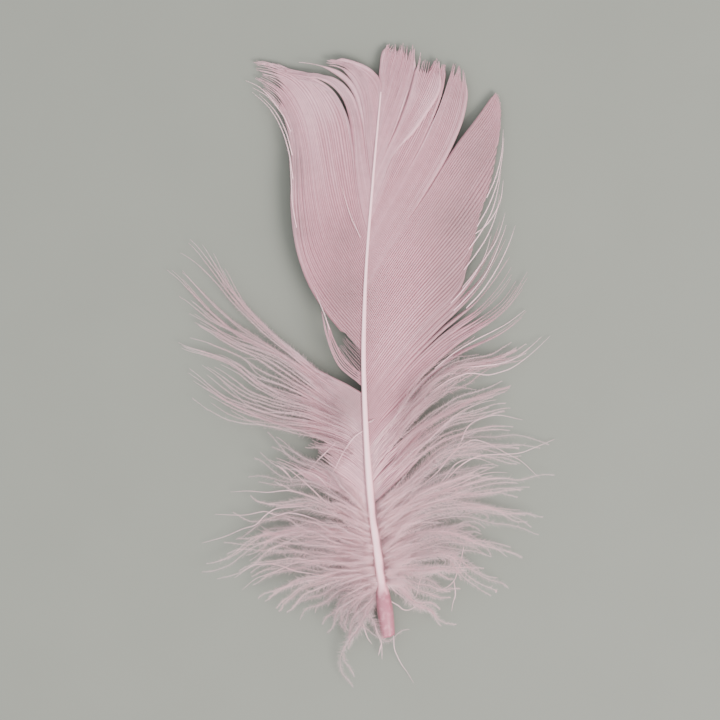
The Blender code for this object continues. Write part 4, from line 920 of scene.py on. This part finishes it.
def barb_keratin(name, body, deep, pale, thin, period, hatch):
    """Dyed barbs of soft keratin. The eye sees a satin of fine pale ridges with deeper webs between them, painted as a
    highlight on the ridges and as shade in the webs; streaks of stronger and weaker dye along the barbs; greyer webs
    where they are thin, and painted shade where the left vane turns away from the light; and the faint slanting lines
    of the barbules."""
    material, tree, shader = new_material(
        name, 0.62, IOR=1.54, Specular_IOR_Level=0.35, Sheen_Weight=0.18, Sheen_Roughness=0.45,
        Subsurface_Weight=0.35, Subsurface_Scale=0.4 * MM, Subsurface_Radius=(1.0, 0.7, 0.72)
    )
    uv = add_node(tree, "ShaderNodeUVMap", uv_map="barb")[0]
    place = add_node(tree, "ShaderNodeSeparateXYZ", {0: uv})
    ridge = add_node(tree, "ShaderNodeAttribute", attribute_name="ridge")["Fac"]
    tint = add_node(tree, "ShaderNodeAttribute", attribute_name="tint")["Fac"]
    thinness = add_node(tree, "ShaderNodeAttribute", attribute_name="thin")["Fac"]
    # Streaks of dye: about two barbs wide, 0.9 mm, and 20 mm long.
    streak_place = add_node(tree, "ShaderNodeMapping", {"Vector": uv, "Scale": (0.05, 1.1, 1.0)})[0]
    streaks = add_node(tree, "ShaderNodeTexNoise", {"Vector": streak_place, "Scale": 1.0, "Detail": 3.0})[0]
    streak = add_node(tree, "ShaderNodeMapRange", {0: streaks, 1: 0.3, 2: 0.7, 3: -0.3, 4: 0.3})[0]
    depth = add_node(tree, "ShaderNodeMath", {0: tint, 1: streak}, operation="ADD")[0]
    less_deep = add_node(tree, "ShaderNodeMapRange", {0: depth, 1: -1.0, 2: 0.0})[0]
    tone = add_node(tree, "ShaderNodeMix", {0: less_deep, 6: deep, 7: body}, data_type="RGBA")[2]
    paler = add_node(tree, "ShaderNodeMapRange", {0: depth, 1: 0.0, 2: 0.9})[0]
    tone = add_node(tree, "ShaderNodeMix", {0: paler, 6: tone, 7: pale}, data_type="RGBA")[2]
    # Painted shade in the webs and painted highlight on the ridges: a deeper and a paler copy of the tone, chosen by
    # the ridge attribute.
    web_shade = add_node(tree, "ShaderNodeMix", {0: 0.6, 6: tone, 7: deep}, data_type="RGBA")[2]
    ridge_highlight = add_node(tree, "ShaderNodeMix", {0: 0.6, 6: tone, 7: pale}, data_type="RGBA")[2]
    on_ridge = add_node(tree, "ShaderNodeMapRange", {0: ridge, 1: 0.1, 2: 0.9})[0]
    striped = add_node(tree, "ShaderNodeMix", {0: on_ridge, 6: web_shade, 7: ridge_highlight}, data_type="RGBA")[2]
    # Greyer where the webs are thin, and painted shade where the left vane turns away from the light.
    greyer = add_node(tree, "ShaderNodeMath", {0: thinness, 1: 0.75}, operation="MULTIPLY")[0]
    striped = add_node(tree, "ShaderNodeMix", {0: greyer, 6: striped, 7: thin}, data_type="RGBA")[2]
    # Real barbules are about 0.03 mm apart; these lines are drawn as coarse as it takes to show.
    phase = add_node(tree, "ShaderNodeMath", {0: ridge, 1: 0.20, 2: place[0]}, operation="MULTIPLY_ADD")[0]
    turn = add_node(
        tree, "ShaderNodeMath", {0: phase, 1: 2.0 * math.pi * MM / period}, operation="MULTIPLY"
    )[0]
    lines = add_node(tree, "ShaderNodeMath", {0: turn}, operation="SINE")[0]
    hatching = add_node(tree, "ShaderNodeMapRange", {0: lines, 1: -1.0, 2: 1.0, 4: hatch})[0]
    hatched = add_node(tree, "ShaderNodeMix", {0: hatching, 6: striped, 7: deep}, data_type="RGBA")[2]
    # Specks of uneven dye, about 1.1 mm apart.
    spot = add_node(tree, "ShaderNodeTexCoord")["Object"]
    grain = add_node(tree, "ShaderNodeTexNoise", {"Vector": spot, "Scale": 0.9 / MM, "Detail": 2.0})[0]
    speck = add_node(tree, "ShaderNodeMapRange", {0: grain, 1: 0.25, 2: 0.75, 3: 0.93, 4: 1.07})[0]
    tone = add_node(tree, "ShaderNodeVectorMath", {0: hatched, 3: speck}, operation="SCALE")[0]
    tree.links.new(tone, shader.inputs["Base Color"])
    relief = {"Height": lines, "Strength": 0.35, "Distance": 0.012 * MM}
    tree.links.new(add_node(tree, "ShaderNodeBump", relief)[0], shader.inputs["Normal"])
    return material


def down_keratin(colours):
    """Down of hair-fine barbules. It has no ridges to shine, so it is matt, paler than the vane, and
    lightest on the stems and where many hairs cross."""
    material, tree, shader = new_material(
        "dyed_down_barbules", 0.82, IOR=1.54, Specular_IOR_Level=0.2, Sheen_Weight=0.35, Sheen_Roughness=0.6,
        Subsurface_Weight=0.35, Subsurface_Scale=0.4 * MM, Subsurface_Radius=(1.0, 0.7, 0.72)
    )
    deep, body, pale = tuple(colours.deep_dye_and_web_shade), tuple(colours.down), tuple(colours.down_pale)
    ridge = add_node(tree, "ShaderNodeAttribute", attribute_name="ridge")["Fac"]
    tint = add_node(tree, "ShaderNodeAttribute", attribute_name="tint")["Fac"]
    uv = add_node(tree, "ShaderNodeUVMap", uv_map="barb")[0]
    # Streaks of dye: about 1.1 mm wide and 8 mm long.
    streak_place = add_node(tree, "ShaderNodeMapping", {"Vector": uv, "Scale": (0.12, 0.9, 1.0)})[0]
    streaks = add_node(tree, "ShaderNodeTexNoise", {"Vector": streak_place, "Scale": 1.0, "Detail": 2.0})[0]
    streak = add_node(tree, "ShaderNodeMapRange", {0: streaks, 1: 0.3, 2: 0.7, 3: -0.35, 4: 0.35})[0]
    depth = add_node(tree, "ShaderNodeMath", {0: tint, 1: streak}, operation="ADD")[0]
    less_deep = add_node(tree, "ShaderNodeMapRange", {0: depth, 1: -0.6, 2: 0.8})[0]
    tone = add_node(tree, "ShaderNodeMix", {0: less_deep, 6: deep, 7: body}, data_type="RGBA")[2]
    # Painted highlight: the stems' tops, and the barbules' raised corners and tips, carry higher ridge values and come
    # out paler.
    on_stem = add_node(tree, "ShaderNodeMapRange", {0: ridge, 4: 0.75})[0]
    tone = add_node(tree, "ShaderNodeMix", {0: on_stem, 6: tone, 7: pale}, data_type="RGBA")[2]
    tree.links.new(tone, shader.inputs["Base Color"])
    return material


def shaft_keratin(colours):
    """Hollow keratin tube, naturally smooth and slightly waxy. The bare quill took the dye deep; the shaft above it
    stays almost white, with fine lengthwise striations and pale remains of the pith inside. The pith is drawn left of
    the middle, partly as a painted highlight on that side, and both edges carry painted shade."""
    material, tree, shader = new_material(
        "polished_keratin_shaft", 0.38, IOR=1.54, Specular_IOR_Level=0.5, Coat_Weight=0.15, Coat_Roughness=0.3
    )
    dyed, clear, whitish = tuple(colours.quill), tuple(colours.shaft), tuple(colours.pith)
    uv = add_node(tree, "ShaderNodeUVMap", uv_map="barb")[0]
    place = add_node(tree, "ShaderNodeSeparateXYZ", {0: uv})
    length, round_it = place[0], place[1]
    # Striations: seven to the half width and 3 mm long. Pith and dye: patches about 1 mm long.
    fibre_place = add_node(tree, "ShaderNodeMapping", {"Vector": uv, "Scale": (0.35, 7.0, 1.0)})[0]
    fibres = add_node(tree, "ShaderNodeTexNoise", {"Vector": fibre_place, "Scale": 1.0, "Detail": 3.0})[0]
    pith_place = add_node(tree, "ShaderNodeMapping", {"Vector": uv, "Scale": (0.9, 1.3, 1.0)})[0]
    pith = add_node(tree, "ShaderNodeTexNoise", {"Vector": pith_place, "Scale": 1.0, "Detail": 2.0})[0]
    patchy = add_node(tree, "ShaderNodeMapRange", {0: pith, 1: 0.5, 2: 0.85, 4: 0.35})[0]
    bare = add_node(tree, "ShaderNodeMix", {0: patchy, 6: dyed, 7: clear}, data_type="RGBA")[2]
    # The dye ends unevenly, 7 to 9 mm above the cut end.
    uneven = add_node(tree, "ShaderNodeMapRange", {0: pith, 3: -1.5, 4: 1.5})[0]
    wander = add_node(tree, "ShaderNodeMath", {0: length, 1: uneven}, operation="ADD")[0]
    above = add_node(tree, "ShaderNodeMapRange", {0: wander, 1: 6.6, 2: 9.4})[0]
    tone = add_node(tree, "ShaderNodeMix", {0: above, 6: bare, 7: clear}, data_type="RGBA")[2]
    rosy = add_node(tree, "ShaderNodeMix", {0: 0.45, 6: clear, 7: tuple(colours.vane_pale)}, data_type="RGBA")[2]
    upper = add_node(tree, "ShaderNodeMapRange", {0: length, 1: 22.0, 2: 70.0, 4: 0.9})[0]
    tone = add_node(tree, "ShaderNodeMix", {0: upper, 6: tone, 7: rosy}, data_type="RGBA")[2]
    # The whitish pith core, set left of the middle: partly the real pith, partly a painted highlight on the shaft's
    # left side. It shows weakly on the dyed quill and strongly above it.
    offset = add_node(tree, "ShaderNodeMath", {0: round_it, 1: 0.3}, operation="ADD")[0]
    off_core = add_node(tree, "ShaderNodeMath", {0: offset}, operation="ABSOLUTE")[0]
    left_pith_highlight = add_node(tree, "ShaderNodeMapRange", {0: off_core, 1: 0.8, 2: 0.1, 4: 0.85})[0]
    shown = add_node(tree, "ShaderNodeMapRange", {0: length, 1: 6.5, 2: 11.0, 3: 0.08})[0]
    core = add_node(tree, "ShaderNodeMath", {0: left_pith_highlight, 1: shown}, operation="MULTIPLY")[0]
    tone = add_node(tree, "ShaderNodeMix", {0: core, 6: tone, 7: whitish}, data_type="RGBA")[2]
    # Painted shade along both rounded sides of the shaft: toward its edges the tone is mixed with the grey of the thin
    # webs.
    from_middle = add_node(tree, "ShaderNodeMath", {0: round_it}, operation="ABSOLUTE")[0]
    edge = add_node(tree, "ShaderNodeMapRange", {0: from_middle, 1: 0.45, 2: 1.0, 4: 0.5})[0]
    tone = add_node(tree, "ShaderNodeMix", {0: edge, 6: tone, 7: tuple(colours.thin_web_and_shade)}, data_type="RGBA")[2]
    striation = add_node(tree, "ShaderNodeMapRange", {0: fibres, 1: 0.35, 2: 0.75, 4: 0.16})[0]
    tone = add_node(tree, "ShaderNodeMix", {0: striation, 6: tone, 7: dyed}, data_type="RGBA")[2]
    cut = add_node(tree, "ShaderNodeMapRange", {0: length, 1: 0.0, 2: 0.35, 3: 0.7, 4: 0.0})[0]
    tone = add_node(tree, "ShaderNodeMix", {0: cut, 6: tone, 7: tuple(colours.deep_dye_and_web_shade)}, data_type="RGBA")[2]
    tree.links.new(tone, shader.inputs["Base Color"])
    relief = {"Height": fibres, "Strength": 0.4, "Distance": 0.05 * MM}
    tree.links.new(add_node(tree, "ShaderNodeBump", relief)[0], shader.inputs["Normal"])
    return material


def painted_floor(colour):
    """A matt painted board: one pale tone with a barely visible mottle, about 17 mm across."""
    material, tree, shader = new_material("matt_painted_board", 0.9, Specular_IOR_Level=0.2)
    spot = add_node(tree, "ShaderNodeTexCoord")["Object"]
    mottle = add_node(tree, "ShaderNodeTexNoise", {"Vector": spot, "Scale": 60.0, "Detail": 3.0})[0]
    level = add_node(tree, "ShaderNodeMapRange", {0: mottle, 1: 0.3, 2: 0.7, 3: 0.985, 4: 1.015})[0]
    tone = add_node(tree, "ShaderNodeVectorMath", {0: colour[:3], 3: level}, operation="SCALE")[0]
    tree.links.new(tone, shader.inputs["Base Color"])
    return material


def quill_surface():
    """The quill and shaft as one closed tube around the shaft's curve: up the hollow of the cut end from
    its closed inner end, over the rim, and along the outside to the tip. A ring's place is the curve's, and
    its section is a rounded square whose corners grow out of the quill's circle further up."""
    rows = [(x, y, width, float(height(x, y))) for x, y, width in SHAFT]
    curve = smooth_line(rows, QUILL_RINGS)
    radius = 0.5 * curve[:, 2]
    radius = np.maximum(radius, 0.11)
    centre = np.column_stack([curve[:, 0], curve[:, 1], np.maximum(curve[:, 3], radius + 0.01)])
    forward = np.gradient(centre, axis=0)
    forward /= np.linalg.norm(forward, axis=1)[:, None]
    along_it = np.concatenate([[0.0], np.cumsum(np.linalg.norm(np.diff(centre, axis=0), axis=1))])
    inner_reach = np.array([QUILL_HOLLOW, 0.92 * QUILL_HOLLOW, 0.7 * QUILL_HOLLOW, 2.0, 0.8, 0.12])
    inner_width = np.array([0.04, 0.45, 0.85, 1.0, 1.0, 1.0])
    inner_centre = np.column_stack([np.interp(inner_reach, along_it, column) for column in centre.T])
    inner_forward = np.column_stack([np.interp(inner_reach, along_it, column) for column in forward.T])
    inner_radius = (np.interp(inner_reach, along_it, radius) - QUILL_WALL) * inner_width
    rim_radius = radius[0] - 0.5 * QUILL_WALL
    rim_centre = centre[:1] - 0.06 * forward[:1]
    tip_centre = centre[-1:] + 0.12 * forward[-1:]
    centre = np.vstack([inner_centre, rim_centre, centre, tip_centre])
    forward = np.vstack([inner_forward, forward[:1], forward, forward[-1:]])
    travelled = np.concatenate([inner_reach, [0.0], along_it, [along_it[-1] + 0.12]])
    radius = np.concatenate([inner_radius, [rim_radius], radius, [0.02]])
    angle = np.linspace(0.0, 2.0 * math.pi, QUILL_SIDES, endpoint=False)
    across = np.column_stack([forward[:, 1], -forward[:, 0], np.zeros(len(forward))])
    across /= np.linalg.norm(across, axis=1)[:, None]
    upward = np.cross(across, forward)
    square = smooth_step(travelled, 7.0, 16.0)[:, None]
    sharpness = 2.0 + 1.2 * square
    round_off = (np.abs(np.cos(angle)) ** sharpness + np.abs(np.sin(angle)) ** sharpness) ** (-1.0 / sharpness)
    ragged = 0.05 * np.sin(3.0 * angle + 0.7) + 0.04 * np.sin(7.0 * angle + 2.0)
    at_rim = np.exp(-((travelled / 0.5) ** 2))[:, None]
    side = np.cos(angle) * round_off * radius[:, None]
    rise = np.sin(angle) * round_off * radius[:, None]
    groove = 0.16 * radius[:, None] * square * np.exp(-((side / (0.28 * radius[:, None])) ** 2)) * (rise < 0.0)
    rings = centre[:, None, :] + across[:, None, :] * side[..., None] + upward[:, None, :] * (rise + groove)[..., None]
    rings += forward[:, None, :] * (at_rim * (ragged + 0.18 * np.cos(angle)))[..., None]
    count = len(rings)
    corner = np.arange(count * QUILL_SIDES).reshape(count, QUILL_SIDES)
    beside = np.roll(corner, -1, axis=1)
    quads = np.stack([corner[:-1], corner[1:], beside[1:], beside[:-1]], axis=-1).reshape(-1, 4)
    caps = np.stack([corner[0], corner[-1, ::-1]])
    seen_side = (np.cos(angle) * round_off) * np.ones((count, 1))
    uv = np.stack([travelled[:, None] * np.ones(QUILL_SIDES), seen_side], axis=-1).reshape(-1, 2)
    return {
        "points": rings.reshape(-1, 3), "faces": [quads, caps], "uv": uv,
        "tint": np.zeros(corner.size), "ridge": np.ones(corner.size),
    }


def single_barbs(paths, width, rise, number):
    """Loose single barbs as a combed part of their own: their webs are only as wide as given, tapering."""
    lines = np.array([smooth_line(path, STATIONS) for path in paths])
    share = np.linspace(0.0, 1.0, STATIONS + 1)[None, :]
    level = height(lines[..., 0], lines[..., 1]) + rise * np.sin(math.pi * share ** 0.7)
    half = 0.5 * width / MM * (1.0 - 0.8 * share ** 2) * np.ones((len(paths), 1))
    rng = np.random.default_rng(SEED + number)
    return {
        "lines": np.concatenate([lines, np.maximum(level, 0.12)[..., None]], axis=2),
        "roots": np.arange(len(paths)) * 1.0,
        "tint": 0.5 + rng.normal(0.0, 0.15, (len(paths), 1)) * np.ones((1, STATIONS + 1)),
        "ramus": np.minimum(0.06, 0.7 * half),
        "above": half,
        "below": half,
        "manner": {**LOOSE_PLUME, "fuzz": 0.3, "fuzz_from": 0.1},
        "number": number,
    }


def piece_surfaces(name, side_groups, side, first_number, sizes):
    """The barbs, webs and loose barbules of every group that belongs to one piece."""
    surfaces = []
    for part in combed_side(side_groups, side, first_number):
        if part["manner"]["piece"] == name:
            surfaces.append(swept(part, side))
            if part["manner"]["fuzz"] > 0.0:
                surfaces += barbules(part, side, sizes)
    return surfaces


def fluff_surfaces(manner, side, number, sizes):
    """Short down over the roots of the longer barbs; it has stems and barbules but no web."""
    part = combed_barbs(manner, side, number)
    part["above"] = part["below"] = 1.05 * part["ramus"]
    return [swept(part, side)] + barbules(part, side, sizes)


def vane_material(colours, sizes):
    """The vane's material, made once and shared by the pieces of closed vane."""
    found = bpy.data.materials.get("combed_vane_barbs")
    return found or barb_keratin(
        "combed_vane_barbs", tuple(colours.vane), tuple(colours.deep_dye_and_web_shade), tuple(colours.vane_pale),
        tuple(colours.thin_web_and_shade), sizes.barbule_period, 0.16,
    )


def plume_material(colours, sizes):
    """The material of the half-loose barbs: like the vane's, a little paler, with weaker barbule lines."""
    found = bpy.data.materials.get("loose_plume_barbs")
    return found or barb_keratin(
        "loose_plume_barbs", tuple(colours.down), tuple(colours.deep_dye_and_web_shade), tuple(colours.down_pale),
        tuple(colours.thin_web_and_shade), sizes.barbule_period, 0.08,
    )


def down_material(colours):
    return bpy.data.materials.get("dyed_down_barbules") or down_keratin(colours)


class FEATHER_OT_quill(Operator):
    """Builds the hollow quill and the shaft that it runs on into"""

    bl_idname = "feather.quill"
    bl_label = "Quill and Shaft"

    def execute(self, context):
        material = shaft_keratin(context.scene.feather_colours)
        make_piece("quill_and_shaft", [quill_surface()], "shaft", material)
        return {"FINISHED"}


class FEATHER_OT_vanes(Operator):
    """Combs the closed vane on both sides of the shaft"""

    bl_idname = "feather.vanes"
    bl_label = "Vanes"

    def execute(self, context):
        sizes = context.scene.feather_sizes
        material = vane_material(context.scene.feather_colours, sizes)
        make_piece("left_vane", piece_surfaces("left_vane", LEFT_SIDE, -1.0, 0, sizes), "vane", material)
        make_piece("right_vane", piece_surfaces("right_vane", RIGHT_SIDE, 1.0, 20, sizes), "vane", material)
        return {"FINISHED"}


class FEATHER_OT_plumes(Operator):
    """Combs the half-loose barbs: the tuft on the left and the three plumes on the right"""

    bl_idname = "feather.plumes"
    bl_label = "Tuft and Plumes"

    def execute(self, context):
        sizes = context.scene.feather_sizes
        material = plume_material(context.scene.feather_colours, sizes)
        left = piece_surfaces("left_tuft", LEFT_SIDE, -1.0, 0, sizes)
        make_piece("left_tuft", left + fluff_surfaces(TUFT_FLUFF, -1.0, 42, sizes), "vane", material)
        right = piece_surfaces("right_plumes", RIGHT_SIDE, 1.0, 20, sizes)
        make_piece("right_plumes", right + fluff_surfaces(PLUME_FLUFF, 1.0, 43, sizes), "vane", material)
        return {"FINISHED"}


class FEATHER_OT_down(Operator):
    """Grows the down round the foot of the shaft on both sides"""

    bl_idname = "feather.down"
    bl_label = "Down"

    def execute(self, context):
        sizes = context.scene.feather_sizes
        material = down_material(context.scene.feather_colours)
        left = piece_surfaces("left_down", LEFT_SIDE, -1.0, 0, sizes)
        make_piece("left_down", left + fluff_surfaces(LEFT_FLUFF, -1.0, 40, sizes), "down", material)
        right = piece_surfaces("right_down", RIGHT_SIDE, 1.0, 20, sizes)
        make_piece("right_down", right + fluff_surfaces(RIGHT_FLUFF, 1.0, 41, sizes), "down", material)
        return {"FINISHED"}


class FEATHER_OT_loose_barbs(Operator):
    """Lays the single loose barbs and hairs"""

    bl_idname = "feather.loose_barbs"
    bl_label = "Loose Barbs"

    def execute(self, context):
        sizes = context.scene.feather_sizes
        material = down_material(context.scene.feather_colours)
        barbs = single_barbs(LOOSE_BARBS, sizes.loose_barb_width, 0.5, 50)
        hairs = single_barbs(HAIRS, sizes.hair_width, 0.3, 51)
        crossing = single_barbs(CROSSING_BARBS, sizes.hair_width, 1.3, 52)
        surfaces = []
        for part in (barbs, hairs, crossing):
            surfaces += [swept(part, 1.0)] + barbules(part, 1.0, sizes)
        make_piece("loose_barbs", surfaces, "down", material)
        return {"FINISHED"}


class FEATHER_OT_stage(Operator):
    """Lays the pale floor and sets up the soft light and the camera looking straight down"""

    bl_idname = "feather.stage"
    bl_label = "Stage"

    def execute(self, context):
        stage = context.scene.feather_stage
        make_floor(stage)
        make_lights(context.scene, stage)
        make_camera(context.scene, stage)
        return {"FINISHED"}


def make_floor(stage):
    """A square sheet at the table's height, large enough to fill a low view."""
    half = 1.5
    corners = np.array([(-half, -half, 0.0), (half, -half, 0.0), (half, half, 0.0), (-half, half, 0.0)])
    mesh = bpy.data.meshes.new("floor")
    mesh.from_pydata(corners.tolist(), [], [(0, 1, 2, 3)])
    mesh.materials.append(painted_floor(tuple(stage.floor)))
    floor = bpy.data.objects.new("floor", mesh)
    bpy.context.scene.collection.objects.link(floor)


def make_lights(scene, stage):
    """A broad lamp low on the right, below the feather in the view, and an even fill from all round."""
    lamp = bpy.data.lights.new("key", "AREA")
    lamp.shape = "DISK"
    lamp.size = 0.40
    lamp.energy = stage.key_power
    lamp.color = hex_colour("#FFF8F2")[:3]
    key = bpy.data.objects.new("key", lamp)
    scene.collection.objects.link(key)
    place = np.array([0.42, -0.36, 0.48])
    key.location = place
    aim = -place / np.linalg.norm(place)
    key.rotation_euler = (math.acos(-aim[2]), 0.0, math.atan2(aim[1], aim[0]) - math.pi / 2.0)
    world = bpy.data.worlds.new("soft_studio")
    scene.world = world
    world.use_nodes = True
    background = world.node_tree.nodes["Background"]
    background.inputs["Color"].default_value = hex_colour("#F4F6F5")
    background.inputs["Strength"].default_value = stage.fill


def make_camera(scene, stage):
    """Straight down over the middle of the view, with a long lens."""
    data = bpy.data.cameras.new("camera")
    data.sensor_width = 36.0
    data.lens = 36.0 * stage.camera_height / (VIEW_WIDTH * MM)
    data.clip_end = 20.0
    camera = bpy.data.objects.new("camera", data)
    scene.collection.objects.link(camera)
    x, y = (np.array(VIEW_CENTRE) + np.array(PLAN_TO_FRAME)) * MM
    camera.location = (x, y, stage.camera_height)
    scene.camera = camera


class FEATHER_PT_panel(Panel):
    bl_idname = "FEATHER_PT_panel"
    bl_label = "Feather"
    bl_space_type = "VIEW_3D"
    bl_region_type = "UI"
    bl_category = "Feather"

    def draw(self, context):
        for operator in OPERATORS:
            self.layout.operator(operator.bl_idname)
        for settings in ("feather_sizes", "feather_colours", "feather_stage"):
            box = self.layout.box()
            group_of_settings = getattr(context.scene, settings)
            for name in group_of_settings.bl_rna.properties.keys():
                if name not in ("rna_type", "name"):
                    box.prop(group_of_settings, name)


OPERATORS = (
    FEATHER_OT_stage, FEATHER_OT_quill, FEATHER_OT_vanes, FEATHER_OT_plumes, FEATHER_OT_down,
    FEATHER_OT_loose_barbs,
)
CLASSES = (FeatherSizes, FeatherColours, FeatherStage, *OPERATORS, FEATHER_PT_panel)


def register():
    for made in CLASSES:
        bpy.utils.register_class(made)
    bpy.types.Scene.feather_sizes = PointerProperty(type=FeatherSizes)
    bpy.types.Scene.feather_colours = PointerProperty(type=FeatherColours)
    bpy.types.Scene.feather_stage = PointerProperty(type=FeatherStage)


def unregister():
    del bpy.types.Scene.feather_stage
    del bpy.types.Scene.feather_colours
    del bpy.types.Scene.feather_sizes
    for made in reversed(CLASSES):
        bpy.utils.unregister_class(made)


def main():
    register()
    bpy.ops.feather.stage()
    bpy.ops.feather.quill()
    bpy.ops.feather.vanes()
    bpy.ops.feather.plumes()
    bpy.ops.feather.down()
    bpy.ops.feather.loose_barbs()


if __name__ == "__main__":
    main()
